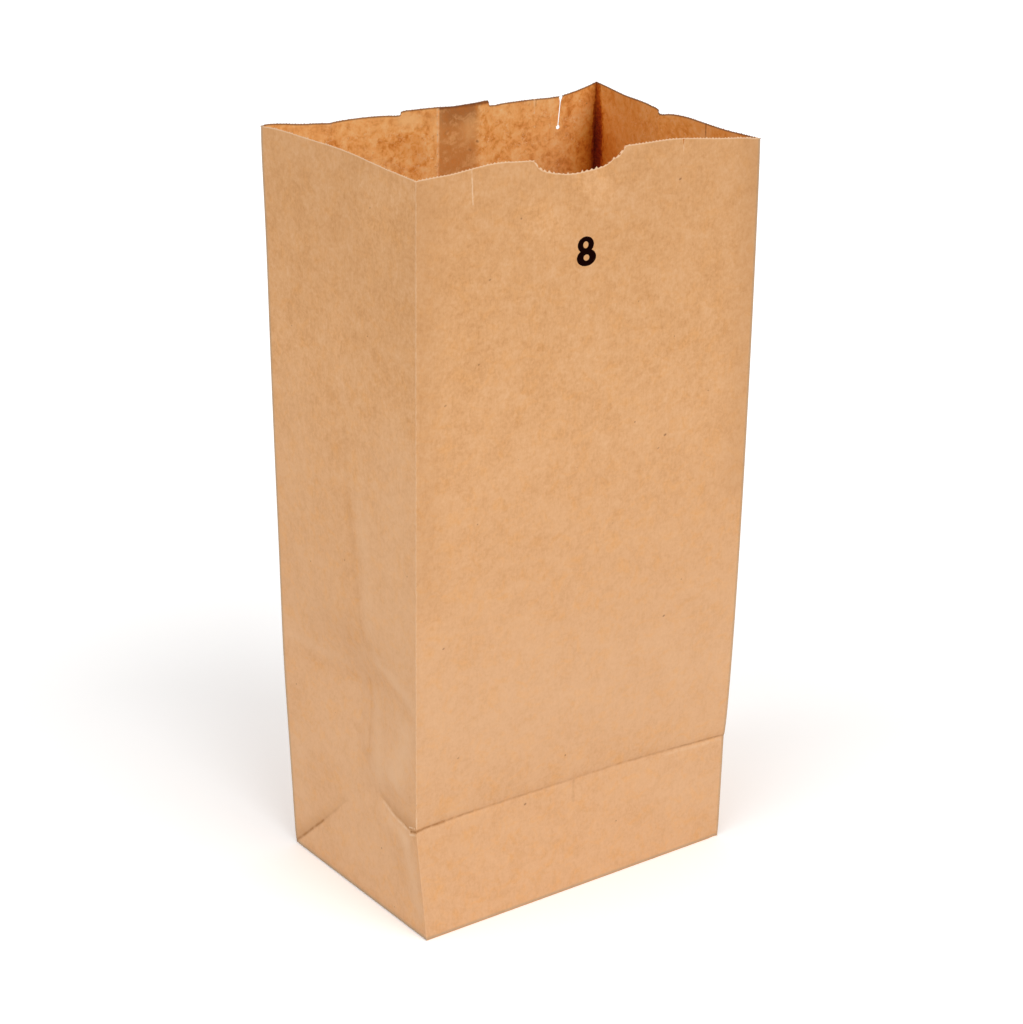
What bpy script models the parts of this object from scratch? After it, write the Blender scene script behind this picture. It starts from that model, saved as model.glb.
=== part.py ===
# Brown paper lunch bag: one kraft sheet, folded and pasted into a square-bottomed sack that stands open.
# Metres, +Z up. The front panel faces -Y and X runs to its right. The origin is the middle of the base,
# on the ground.
import math

import bmesh
import bpy
import numpy as np
from mathutils import Vector

# The sheet
PAPER = 0.0001

# The base, between its four folded edges, and the flaps that close it
BASE_WIDTH = 0.1545
BASE_DEPTH = 0.1022
FLAP_OVERLAP = 0.026

# The mouth between the corner creases: how much wider it stands than the base, shift of its middle and turn
# of its sides
MOUTH_SPREAD_WIDTH = 0.0012
MOUTH_SPREAD_DEPTH = 0.0017
MOUTH_WIDTH = BASE_WIDTH + MOUTH_SPREAD_WIDTH
MOUTH_DEPTH = BASE_DEPTH + MOUTH_SPREAD_DEPTH
MOUTH_SHIFT_X = 0.0008
MOUTH_SHIFT_Y = -0.0013
FRONT_TURN = math.radians(-4.4)
BACK_TURN = math.radians(-5.1)
SIDE_TURN = math.radians(1.4)

# Height of the bag up to its cut edge, how far the edge lies off it at each corner crease, and how far it
# rises or dips between them
BAG_HEIGHT = 0.3160
EDGE_FRONT_LEFT = 0.0009
EDGE_FRONT_RIGHT = -0.0018
EDGE_BACK_RIGHT = 0.0026
EDGE_BACK_LEFT = 0.0020
FRONT_EDGE_RISE = 0.0033
BACK_EDGE_DIP = 0.0030
LEFT_EDGE_RISE = 0.0021

# Where a gusset's middle crease lies, as a share of its width, and the step in the right gusset's cut edge
# there, where two layers of the flat bag were cut
GUSSET_CREASE = 0.5
RIGHT_EDGE_STEP = 0.0014
RIGHT_EDGE_FLANK = 0.0004

# Thumb notch in the front and the tab that it leaves on the back, both from the left corner crease
NOTCH_START = 0.0525
NOTCH_WIDTH = 0.0410
NOTCH_DEPTH = 0.0074
NOTCH_LEAN = 0.0016
TAB_START = 0.0620
TAB_WIDTH = 0.0413
TAB_HEIGHT = 0.0018
TAB_FLANK = 0.0004

# Knife nicks in the cut edge: distance from the left (or front) corner crease, depth and width. The paper
# has parted at two of them and all but closed at the others.
NICK_WIDTH = 0.0005
CLOSED_NICK_WIDTH = 0.0002
BACK_NICK_AT = 0.1374
BACK_NICK_DEPTH = 0.0133
BACK_NICK_HOLE_RADIUS = 0.0008
BACK_LEFT_NICK_AT = 0.0305
BACK_LEFT_NICK_DEPTH = 0.0060
FRONT_NICK_AT = 0.1190
FRONT_NICK_DEPTH = 0.0022
RIGHT_NICK_AT = 0.0272
RIGHT_NICK_DEPTH = 0.0046

# Pasted side seam on the back panel: its inner edge from the left corner crease, and the overlap
SEAM_START = 0.0798
SEAM_OVERLAP = 0.0232

# Fold across the front, left by the base when the bag is flat: height of its ends, rise between, depth
FOLD_LEFT_HEIGHT = 0.0482
FOLD_RIGHT_HEIGHT = 0.0499
FOLD_RISE = 0.0016
FOLD_PINCH_X = -0.0013
FOLD_PINCH_Y = 0.0046
FOLD_SET = 0.0012

# Swell of the walls and bow of the corner creases. The front right one bows most below its middle.
FRONT_SWELL = 0.0016
BACK_SWELL = 0.0025
FRONT_RIGHT_BOW = 0.0013
BACK_BOW = 0.0012
LOW_BOW = 0.7

# The back left crease flares at the mouth and bulges above the bottom: by how much, where, and over what
BACK_LEFT_FLARE = 0.00065
BACK_LEFT_FLARE_FADE = 0.032
BACK_LEFT_BULGE = 0.00035
BACK_LEFT_BULGE_HEIGHT = 0.088
BACK_LEFT_BULGE_FADE = 0.036

# How far the middle crease of each gusset is pushed in: at the tip of the bottom triangle, in the hollow
# above it, at the belly and at the mouth
LEFT_TIP_PUSH = 0.0036
LEFT_HOLLOW_PUSH = 0.0072
LEFT_BELLY_PUSH = -0.0006
LEFT_MOUTH_PUSH = 0.0022
RIGHT_TIP_PUSH = 0.0040
RIGHT_HOLLOW_PUSH = 0.0065
RIGHT_BELLY_PUSH = 0.0045
RIGHT_MOUTH_PUSH = 0.0089
HOLLOW_HEIGHT = 0.0920
BELLY_HEIGHT = 0.1300

# Pucker at the pinched crease: its depth, its height and the share by which it stands proud above
PUCKER_DEPTH = 0.0020
PUCKER_HEIGHT = 0.0190
PUCKER_PROUD = 0.6

# Fullness of the curves: under 1 they are flatter on top and steeper at their ends than a sine arch
FULL = 0.7
FULLER = 0.5
FOLD_FADE = 8

# Mesh: steps across a panel, up the wall above the gusset triangles and round a cut, and the least step
GUSSET_STEPS = 12
PANEL_STEPS = 20
WALL_STEPS = 17
CUT_STEPS = 12
LEAST_STEP = 0.012
TANGENT_STEP = 0.01
CUTTER_REACH = 0.008

KRAFT_COLOUR = (0.730, 0.396, 0.178, 1.0)
KRAFT_ROUGHNESS = 0.85

# Levels of the pasted layers of the base, counted up from the ground
FRONT_FLAP_LEVEL = 0.0
BACK_FLAP_LEVEL = PAPER
GUSSET_LEVEL = 3 * PAPER
FLOOR_LEVEL = 4 * PAPER

FLAP_LENGTH = (BASE_DEPTH + FLAP_OVERLAP) / 2
TRIANGLE_HEIGHT = BASE_DEPTH / 2
TRIANGLE_STEPS = GUSSET_STEPS // 2
LEFT_CREASE = (LEFT_TIP_PUSH, LEFT_HOLLOW_PUSH, LEFT_BELLY_PUSH, LEFT_MOUTH_PUSH)
RIGHT_CREASE = (RIGHT_TIP_PUSH, RIGHT_HOLLOW_PUSH, RIGHT_BELLY_PUSH, RIGHT_MOUTH_PUSH)


def clear_scene():
    for thing in list(bpy.data.objects):
        bpy.data.objects.remove(thing, do_unlink=True)


def mix(a, b, t):
    return a + (b - a) * t


def smooth(t):
    t = min(1.0, max(0.0, t))
    return t * t * (3 - 2 * t)


def arch(t):
    """0 at both ends of a span and 1 in its middle."""
    return math.sin(math.pi * min(1.0, max(0.0, t)))


def hill(distance, fade):
    """1 in the middle, falling off on both sides."""
    return math.exp(-(distance / fade) ** 2)


def corners():
    """Base point, mouth point and cut height of the four corner creases, from the front left."""
    across_front = Vector((math.cos(FRONT_TURN), math.sin(FRONT_TURN), 0)) * MOUTH_WIDTH / 2
    across_back = Vector((math.cos(BACK_TURN), math.sin(BACK_TURN), 0)) * MOUTH_WIDTH / 2
    to_back = Vector((-math.sin(SIDE_TURN), math.cos(SIDE_TURN), 0)) * MOUTH_DEPTH / 2
    middle = Vector((MOUTH_SHIFT_X, MOUTH_SHIFT_Y, 0))
    half = Vector((BASE_WIDTH / 2, BASE_DEPTH / 2, 0))
    return [
        (Vector((-half.x, -half.y, 0)), middle - to_back - across_front, BAG_HEIGHT + EDGE_FRONT_LEFT),
        (Vector((half.x, -half.y, 0)), middle - to_back + across_front, BAG_HEIGHT + EDGE_FRONT_RIGHT),
        (Vector((half.x, half.y, 0)), middle + to_back + across_back, BAG_HEIGHT + EDGE_BACK_RIGHT),
        (Vector((-half.x, half.y, 0)), middle + to_back - across_back, BAG_HEIGHT + EDGE_BACK_LEFT),
    ]


def fold_height(u):
    """Height of the fold across the front, u from 0 at the left to 1 at the right."""
    return mix(FOLD_LEFT_HEIGHT, FOLD_RIGHT_HEIGHT, u) + FOLD_RISE * arch(u)


def corner_crease(corner, height):
    """Point of a corner crease. The front left one is pinched at the fold, the others bow outwards."""
    base, mouth, cut = corners()[corner]
    point = base.lerp(mouth, height / cut)
    if corner == 0:
        below, above = height / FOLD_LEFT_HEIGHT, (cut - height) / (cut - FOLD_LEFT_HEIGHT)
        point += Vector((FOLD_PINCH_X, FOLD_PINCH_Y, 0)) * max(0.0, min(below, above))
        return point
    outwards = Vector((math.copysign(1, base.x), math.copysign(1, base.y), 0))
    if corner == 1:
        up = max(0.0, height - FOLD_RIGHT_HEIGHT) / (cut - FOLD_RIGHT_HEIGHT)
        return point + outwards * FRONT_RIGHT_BOW * arch(up ** LOW_BOW) ** FULL
    if corner == 3:
        point += outwards * BACK_LEFT_FLARE * hill(cut - height, BACK_LEFT_FLARE_FADE)
        point += outwards * BACK_LEFT_BULGE * hill(height - BACK_LEFT_BULGE_HEIGHT, BACK_LEFT_BULGE_FADE)
    return point + outwards * BACK_BOW * arch(height / cut) ** FULL


def edge_height(panel, u):
    """Height of the cut edge along a panel: a slow curve, the step at the right and the tab on the back."""
    ring = corners()
    level = mix(ring[panel][2], ring[(panel + 1) % 4][2], u)
    if panel == 0:
        return level + FRONT_EDGE_RISE * arch(u) ** FULL
    if panel == 1:
        behind = smooth((u - GUSSET_CREASE) * MOUTH_DEPTH / RIGHT_EDGE_FLANK)
        return level + RIGHT_EDGE_STEP * mix(-1, 1, behind) / 2 * (1 - abs(2 * u - 1))
    if panel == 3:
        return level + LEFT_EDGE_RISE * arch(u)
    from_left = (1 - u) * MOUTH_WIDTH
    rise = smooth((from_left - TAB_START) / TAB_FLANK)
    fall = smooth((TAB_START + TAB_WIDTH - from_left) / TAB_FLANK)
    return level - BACK_EDGE_DIP * arch(u) ** FULLER + TAB_HEIGHT * rise * fall


def front_depth(u, height, cut):
    """How far the front wall lies behind the line between its corner creases."""
    fold = fold_height(u)
    if height <= fold:
        return FOLD_SET * arch(u) * height / fold
    up = (height - fold) / (cut - fold)
    return FOLD_SET * arch(u) * (1 - up) ** FOLD_FADE - FRONT_SWELL * arch(u) * arch(up) ** FULL


def back_depth(u, height, cut):
    return -BACK_SWELL * arch(u) * arch(height / cut)


def crease_push(height, cut, crease):
    """Push of a gusset's middle crease at a height above the bottom triangle."""
    tip, hollow, belly, mouth = crease
    if height < HOLLOW_HEIGHT:
        return mix(tip, hollow, smooth((height - TRIANGLE_HEIGHT) / (HOLLOW_HEIGHT - TRIANGLE_HEIGHT)))
    if height < BELLY_HEIGHT:
        return mix(hollow, belly, smooth((height - HOLLOW_HEIGHT) / (BELLY_HEIGHT - HOLLOW_HEIGHT)))
    return mix(belly, mouth, smooth((height - BELLY_HEIGHT) / (cut - BELLY_HEIGHT)) ** 2)


def gusset_depth(u, height, cut, crease):
    """Valleys run from both bottom corners to the tip of the triangle, and from there up to the mouth."""
    if height <= TRIANGLE_HEIGHT:
        reach = height / TRIANGLE_HEIGHT
        to_valley = min(u, 1 - u) / (reach / 2) if reach > 0 else 1.0
        return crease[0] * reach * min(1.0, to_valley)
    return crease_push(height, cut, crease) * (1 - abs(2 * u - 1))


def left_pucker(u, height):
    """The front half of the left gusset dives in at the end of the fold and stands proud above it."""
    up = (height - FOLD_LEFT_HEIGHT) / PUCKER_HEIGHT
    if up < 0:
        dive = max(0.0, 1 + 2 * up)
    else:
        dive = 1 - (1 + PUCKER_PROUD) * smooth(up) + PUCKER_PROUD * smooth((up - 1) / 2)
    return PUCKER_DEPTH * dive * arch(max(0.0, 2 * u - 1))


def wall_point(panel, u, height, cut):
    """Point of the outer face of the walls: u runs anticlockwise along the panel."""
    start = corner_crease(panel, height)
    end = corner_crease((panel + 1) % 4, height)
    along = (end - start).normalized()
    inwards = Vector((-along.y, along.x, 0))
    if panel == 0:
        depth = front_depth(u, height, cut)
    elif panel == 1:
        depth = gusset_depth(u, height, cut, RIGHT_CREASE)
    elif panel == 2:
        depth = back_depth(u, height, cut)
    else:
        depth = gusset_depth(u, height, cut, LEFT_CREASE) + left_pucker(u, height)
    point = start.lerp(end, u) + inwards * depth
    point.z = height
    return point


def seam_layers(u):
    """How many sheets lie outside and inside the back wall's outer face at u of the back panel. The sheet
    from the right runs inside at the seam and comes out flush again towards its corner."""
    from_left = (1 - u) * MOUTH_WIDTH
    if from_left < SEAM_START:
        return 0.0, 1.0
    if from_left < SEAM_START + SEAM_OVERLAP:
        return 0.0, 2.0
    seam_end = SEAM_START + SEAM_OVERLAP
    back_out = smooth((from_left - seam_end) / (MOUTH_WIDTH - seam_end))
    return 1.0 - back_out, 2.0 - back_out


def panel_stations(panel):
    """Places of the columns along a panel, as (u, side): a seam edge has one on each side of its step."""
    steps = GUSSET_STEPS if panel in (1, 3) else PANEL_STEPS
    places = [(k / steps, 0) for k in range(steps)]
    if panel in (0, 2):
        floor_edge = FLAP_LENGTH / BASE_WIDTH
        places += [(floor_edge, 0), (1 - floor_edge, 0)]
    if panel == 1:
        places += [(GUSSET_CREASE + RIGHT_EDGE_FLANK / MOUTH_DEPTH, 0)]
    if panel == 2:
        tab_end = TAB_START + TAB_WIDTH
        tab_ends = (TAB_START, TAB_START + TAB_FLANK, tab_end - TAB_FLANK, tab_end)
        places += [(1 - end / MOUTH_WIDTH, 0) for end in tab_ends]
        for edge in (SEAM_START, SEAM_START + SEAM_OVERLAP):
            places += [(1 - edge / MOUTH_WIDTH, -1), (1 - edge / MOUTH_WIDTH, 1)]
    return thin_out(sorted(places))


def thin_out(places):
    """Drops an even step that lies too close to a place that a feature needs. The middle crease stays."""
    even = {k / PANEL_STEPS for k in range(1, PANEL_STEPS)} - {GUSSET_CREASE}
    kept = []
    for place in places:
        near = any(other != place and abs(other[0] - place[0]) < LEAST_STEP for other in places)
        if place[1] == 0 and place[0] in even and near:
            continue
        kept.append(place)
    return kept


def row_heights(panel, u):
    """Heights of one column's points, from the base to the cut edge. One lies on the fold."""
    cut = edge_height(panel, u)
    if panel == 0:
        fold = fold_height(u)
    elif panel == 2:
        fold = TRIANGLE_HEIGHT
    else:
        front_fold = FOLD_RIGHT_HEIGHT if panel == 1 else FOLD_LEFT_HEIGHT
        to_front = max(0.0, 1 - 2 * u) if panel == 1 else max(0.0, 2 * u - 1)
        fold = mix(TRIANGLE_HEIGHT, front_fold, to_front)
    lower = [mix(GUSSET_LEVEL, fold, k / TRIANGLE_STEPS) for k in range(TRIANGLE_STEPS + 1)]
    upper = [mix(fold, cut, k / WALL_STEPS) for k in range(1, WALL_STEPS + 1)]
    return lower + upper


def wall_columns():
    """All columns round the bag: where each stands, its outer points and its layers."""
    columns = []
    for panel in range(4):
        for u, side in panel_stations(panel):
            cut = edge_height(panel, u)
            points = [wall_point(panel, u, height, cut) for height in row_heights(panel, u)]
            outside, inside = seam_layers(u - side * 1e-6) if panel == 2 else (0.0, 1.0)
            columns.append({"panel": panel, "u": u, "points": points, "outside": outside, "inside": inside})
    return columns


def inward_steps(columns):
    """For each point of the walls, the step that moves all the faces round it inwards by one unit."""
    count, rows = len(columns), len(columns[0]["points"])
    reach = []
    for i in range(count):
        before, after = i - 1, (i + 1) % count
        while columns[before]["u"] == columns[i]["u"] and columns[before]["panel"] == columns[i]["panel"]:
            before -= 1
        while columns[after]["u"] == columns[i]["u"] and columns[after]["panel"] == columns[i]["panel"]:
            after = (after + 1) % count
        reach.append((before, after))
    steps = []
    for i in range(count):
        own, (before, after) = columns[i]["points"], reach[i]
        column_steps = []
        for j in range(rows):
            normals = []
            for k in (j - 1, j + 1):
                if not 0 <= k < rows:
                    continue
                up = (own[k] - own[j]) * (k - j)
                for beside, way in ((before, -1), (after, 1)):
                    along = (columns[beside]["points"][j] - own[j]) * way
                    normals.append(list(up.cross(along).normalized()))
            step = np.linalg.lstsq(np.array(normals), np.ones(len(normals)), rcond=0.1)[0]
            column_steps.append(Vector(step))
        steps.append(column_steps)
    return steps


def skin_rings(mesh, columns, steps, which):
    """One ring of vertices for each row. The base row of the inner skin lies on the floor of the bag."""
    rows = len(columns[0]["points"])
    rings = []
    for j in range(rows):
        ring = []
        for column, column_steps in zip(columns, steps):
            point = column["points"][j] + column_steps[j] * PAPER * column[which]
            point.z = column["points"][j].z
            if which == "inside" and j == 0:
                point.z = FLOOR_LEVEL
            ring.append(mesh.verts.new(point))
        rings.append(ring)
    return rings


def skin_faces(mesh, columns, rings, faces_out):
    """Triangles between the rings, split alike on both skins, so that the wall keeps its thickness. Each
    half of a panel is split as its valley folds run, up from the bottom corner to the middle."""
    count = len(columns)
    for j in range(len(rings) - 1):
        for i in range(count):
            n = (i + 1) % count
            a, b, c, d = rings[j][i], rings[j][n], rings[j + 1][n], rings[j + 1][i]
            rising = columns[i]["u"] < 0.5
            for loop in [(a, b, c), (a, c, d)] if rising else [(a, b, d), (b, c, d)]:
                mesh.faces.new(loop if faces_out else loop[::-1])


def same_place(one, other):
    return one["panel"] == other["panel"] and one["u"] == other["u"]


def edge_chain(columns, outer, inner, own, twin):
    """Vertices across the cut edge at one column, with those where the other side of a seam step ends."""
    chain = [outer[own], inner[own]]
    if same_place(columns[own], columns[twin]):
        levels = (columns[own]["outside"], columns[own]["inside"])
        for ring, which in ((outer, "outside"), (inner, "inside")):
            if levels[0] + 0.01 < columns[twin][which] < levels[1] - 0.01:
                chain.insert(1, ring[twin])
    return chain


def cut_edge_faces(mesh, columns, outer, inner):
    """The raw edge of the sheet round the mouth."""
    count = len(columns)
    for i in range(count):
        n = (i + 1) % count
        if same_place(columns[i], columns[n]):
            continue
        here = edge_chain(columns, outer, inner, i, i - 1)
        there = edge_chain(columns, outer, inner, n, (n + 1) % count)
        fill_between(mesh, here, there)


def fill_between(mesh, one, other):
    """Triangles between two rows of vertices that run the same way. Returns the faces."""
    faces = []
    i, k = 0, 0
    while i < len(one) - 1 or k < len(other) - 1:
        by_one = (i + 1) / len(one) <= (k + 1) / len(other)
        if k == len(other) - 1 or (by_one and i < len(one) - 1):
            faces.append(mesh.faces.new((one[i], other[k], one[i + 1])))
            i += 1
        else:
            faces.append(mesh.faces.new((one[i], other[k], other[k + 1])))
            k += 1
    return faces


def ring_part(columns, ring, start, end):
    """The vertices of a ring between two (panel, u) places, both ends included, anticlockwise."""
    def index_of(panel, u):
        own = [k for k, column in enumerate(columns) if column["panel"] == panel]
        return min(own, key=lambda k: abs(columns[k]["u"] - u))

    first, last = index_of(*start), index_of(*end)
    if last <= first:
        last += len(columns)
    return [ring[k % len(columns)] for k in range(first, last + 1)]


def close_base(mesh, columns, ring):
    """Underside: the ends of the gussets lie highest, the back flap over them, the front flap over both."""
    half_tip = BASE_WIDTH / 2 - FLAP_LENGTH
    meet = (BASE_WIDTH - BASE_DEPTH) / 2
    lap = FLAP_OVERLAP / 2
    left, right, tip_left, tip_right = (
        mesh.verts.new(Vector((x, y, GUSSET_LEVEL)))
        for x, y in ((-meet, 0), (meet, 0), (-half_tip, lap), (half_tip, lap))
    )
    sides = [ring_part(columns, ring, (p, 0.0), ((p + 1) % 4, 0.0)) for p in range(4)]
    fill_between(mesh, sides[1], [right])
    fill_between(mesh, sides[3], [left])
    front = fill_between(mesh, sides[0], [left, tip_left, tip_right, right])
    back = fill_between(mesh, sides[2], [right, tip_right, tip_left, left])
    places = [face.calc_center_median() for face in front]
    drop_faces(mesh, front + back, BACK_FLAP_LEVEL - GUSSET_LEVEL)
    front = faces_at(mesh, places, BACK_FLAP_LEVEL)
    drop_faces(mesh, front, FRONT_FLAP_LEVEL - BACK_FLAP_LEVEL)


def close_floor(mesh, columns, ring):
    """Inside: the folded-in gussets cover both ends, and the flaps show in the gap between them."""
    edge = FLAP_LENGTH / BASE_WIDTH
    half_gap = BASE_WIDTH / 2 - FLAP_LENGTH
    lap = FLAP_OVERLAP / 2
    on_left, on_right = (mesh.verts.new(Vector((x, -lap, FLOOR_LEVEL))) for x in (-half_gap, half_gap))
    fill_between(mesh, ring_part(columns, ring, (0, 1 - edge), (2, edge)), [on_right])
    fill_between(mesh, ring_part(columns, ring, (2, 1 - edge), (0, edge)), [on_left])
    gap_front = fill_between(mesh, ring_part(columns, ring, (0, edge), (0, 1 - edge)), [on_left, on_right])
    gap_back = fill_between(mesh, ring_part(columns, ring, (2, edge), (2, 1 - edge)), [on_right, on_left])
    places = [face.calc_center_median() for face in gap_front]
    drop_faces(mesh, gap_front + gap_back, BACK_FLAP_LEVEL + PAPER - FLOOR_LEVEL)
    gap_front = faces_at(mesh, places, BACK_FLAP_LEVEL + PAPER)
    drop_faces(mesh, gap_front, -PAPER)


def drop_faces(mesh, faces, by):
    """Extrudes flat faces straight down by a few sheets."""
    grown = bmesh.ops.extrude_face_region(mesh, geom=faces)["geom"]
    bmesh.ops.delete(mesh, geom=[face for face in faces if face.is_valid], context="FACES_KEEP_BOUNDARY")
    points = [thing for thing in grown if isinstance(thing, bmesh.types.BMVert)]
    bmesh.ops.translate(mesh, verts=points, vec=(0, 0, by))


def faces_at(mesh, places, level):
    """The faces that lie flat at a level, right above or below some places."""
    flat = [face for face in mesh.faces if all(abs(vert.co.z - level) < PAPER / 10 for vert in face.verts)]
    wanted = {(round(place.x, 6), round(place.y, 6)) for place in places}
    middles = [(face, face.calc_center_median()) for face in flat]
    return [face for face, middle in middles if (round(middle.x, 6), round(middle.y, 6)) in wanted]


def sheet_mesh():
    """The folded sheet as one closed body: an outer skin, an inner skin, the cut edge and the base."""
    mesh = bmesh.new()
    columns = wall_columns()
    steps = inward_steps(columns)
    outer = skin_rings(mesh, columns, steps, "outside")
    inner = skin_rings(mesh, columns, steps, "inside")
    skin_faces(mesh, columns, outer, True)
    skin_faces(mesh, columns, inner, False)
    cut_edge_faces(mesh, columns, outer[-1], inner[-1])
    close_base(mesh, columns, outer[0])
    close_floor(mesh, columns, inner[0])
    bmesh.ops.remove_doubles(mesh, verts=mesh.verts, dist=PAPER / 50)
    bmesh.ops.recalc_face_normals(mesh, faces=mesh.faces)
    return mesh


def notch_outline():
    """Half-width steps and depths of the thumb notch: steep sides that round into a shallow bowl."""
    half = NOTCH_WIDTH / 2 - NOTCH_LEAN
    turns = [math.pi * k / CUT_STEPS for k in range(CUT_STEPS + 1)]
    return [(-math.cos(turn) * half, math.sin(turn) ** FULLER) for turn in turns]


def cutter(name, mesh):
    data = bpy.data.meshes.new(name)
    bmesh.ops.recalc_face_normals(mesh, faces=mesh.faces)
    mesh.to_mesh(data)
    mesh.free()
    thing = bpy.data.objects.new(name, data)
    bpy.context.collection.objects.link(thing)
    thing.hide_render = True
    thing.display_type = "WIRE"
    return thing


def prism(mesh, origin, along, outline):
    """Adds a prism to a mesh: an outline in the plane of along and Z, pushed through the wall both ways."""
    through = Vector((-along.y, along.x, 0)) * CUTTER_REACH
    loop = [mesh.verts.new(origin - through + along * x + Vector((0, 0, z))) for x, z in outline]
    face = mesh.faces.new(loop)
    grown = bmesh.ops.extrude_face_region(mesh, geom=[face])["geom"]
    points = [thing for thing in grown if isinstance(thing, bmesh.types.BMVert)]
    bmesh.ops.translate(mesh, verts=points, vec=through * 2)


def cut_place(panel, u):
    """Point on the cut edge and the direction along the panel there."""
    cut = edge_height(panel, u)
    before, after = (wall_point(panel, u + step, cut, cut) for step in (-TANGENT_STEP, TANGENT_STEP))
    return wall_point(panel, u, cut, cut), (after - before).normalized()


def notch_cutter():
    mesh = bmesh.new()
    origin, along = cut_place(0, (NOTCH_START + NOTCH_WIDTH / 2) / MOUTH_WIDTH)
    above = 2 * NOTCH_DEPTH
    outline = [(x, -NOTCH_DEPTH * depth) for x, depth in notch_outline()]
    outline = [(-NOTCH_WIDTH / 2, above)] + outline + [(NOTCH_WIDTH / 2, above)]
    prism(mesh, origin, along, outline)
    return cutter("notch_cutter", mesh)


def nick_cutter():
    mesh = bmesh.new()
    nicks = [
        (2, 1 - BACK_NICK_AT / MOUTH_WIDTH, NICK_WIDTH, BACK_NICK_DEPTH, BACK_NICK_HOLE_RADIUS),
        (2, 1 - BACK_LEFT_NICK_AT / MOUTH_WIDTH, CLOSED_NICK_WIDTH, BACK_LEFT_NICK_DEPTH, 0.0),
        (0, FRONT_NICK_AT / MOUTH_WIDTH, NICK_WIDTH, FRONT_NICK_DEPTH, 0.0),
        (1, RIGHT_NICK_AT / MOUTH_DEPTH, CLOSED_NICK_WIDTH, RIGHT_NICK_DEPTH, 0.0),
    ]
    for panel, u, width, depth, hole in nicks:
        origin, along = cut_place(panel, u)
        half = width / 2
        outline = [(-half, depth), (-half, -depth), (half, -depth), (half, depth)]
        if hole:
            start = math.asin(half / hole)
            turns = [mix(start, 2 * math.pi - start, k / CUT_STEPS) for k in range(CUT_STEPS + 1)]
            drop = depth + hole * math.cos(start)
            bowl = [(-hole * math.sin(turn), -drop + hole * math.cos(turn)) for turn in turns]
            outline = [(-half, depth)] + bowl + [(half, depth)]
        prism(mesh, origin, along, outline)
    return cutter("nick_cutter", mesh)


def kraft_paper():
    material = bpy.data.materials.new("kraft_paper")
    material.use_nodes = True
    shader = material.node_tree.nodes["Principled BSDF"]
    shader.inputs["Base Color"].default_value = KRAFT_COLOUR
    shader.inputs["Roughness"].default_value = KRAFT_ROUGHNESS
    shader.inputs["Metallic"].default_value = 0.0
    return material


def build_bag():
    clear_scene()
    data = bpy.data.meshes.new("bag")
    mesh = sheet_mesh()
    mesh.to_mesh(data)
    mesh.free()
    bag = bpy.data.objects.new("bag", data)
    bpy.context.collection.objects.link(bag)
    bag.data.materials.append(kraft_paper())
    for tool in (notch_cutter(), nick_cutter()):
        cut = bag.modifiers.new(tool.name, "BOOLEAN")
        cut.operation = "DIFFERENCE"
        cut.solver = "EXACT"
        cut.object = tool
    return bag


build_bag()
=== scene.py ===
import math

import bmesh
import bpy
from mathutils import Matrix, Vector, noise


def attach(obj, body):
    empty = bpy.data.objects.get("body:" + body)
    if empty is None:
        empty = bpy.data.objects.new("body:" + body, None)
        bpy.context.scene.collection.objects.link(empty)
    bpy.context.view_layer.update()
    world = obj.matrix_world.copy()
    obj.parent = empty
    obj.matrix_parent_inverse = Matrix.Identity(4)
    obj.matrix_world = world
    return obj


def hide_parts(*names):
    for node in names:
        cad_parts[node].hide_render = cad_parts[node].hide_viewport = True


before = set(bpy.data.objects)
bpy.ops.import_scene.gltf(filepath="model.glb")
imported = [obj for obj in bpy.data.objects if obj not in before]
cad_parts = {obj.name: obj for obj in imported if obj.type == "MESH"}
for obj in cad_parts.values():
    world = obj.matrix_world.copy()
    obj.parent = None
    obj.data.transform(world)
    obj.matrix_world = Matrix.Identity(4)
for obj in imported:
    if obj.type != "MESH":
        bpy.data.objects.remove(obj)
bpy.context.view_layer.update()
mm = 0.001  # sizes below are in millimetres, meshes in metres


# Curves and small helpers

def mix(a, b, t):
    return a + (b - a) * t


def smooth(t):
    t = min(1.0, max(0.0, t))
    return t * t * (3 - 2 * t)


def arch(t):
    return math.sin(math.pi * min(1.0, max(0.0, t)))


def hill(distance, width):  # 1 at the middle, fades on both sides
    return math.exp(-(distance / width) ** 2)


def curveAt(points, x):  # smooth line through given points
    last = len(points) - 1
    i = next((k for k in range(last) if x <= points[k + 1][0]), last - 1)
    before, start, end, after = (points[min(max(k, 0), last)] for k in (i - 1, i, i + 1, i + 2))
    span = end[0] - start[0]
    t = min(1.0, max(0.0, (x - start[0]) / span))
    slopeIn = (end[1] - before[1]) / (end[0] - before[0]) * span
    slopeOut = (after[1] - start[1]) / (after[0] - start[0]) * span
    a = (1 + 2 * t) * (1 - t) ** 2 * start[1] + t * (1 - t) ** 2 * slopeIn
    return a + t * t * (3 - 2 * t) * end[1] + t * t * (t - 1) * slopeOut


def toSegment(point, start, end):  # distance of a point in the flat sheet from a line on it
    along = end - start
    t = min(1.0, max(0.0, (point - start).dot(along) / along.length_squared))
    return (point - start - along * t).length


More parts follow.
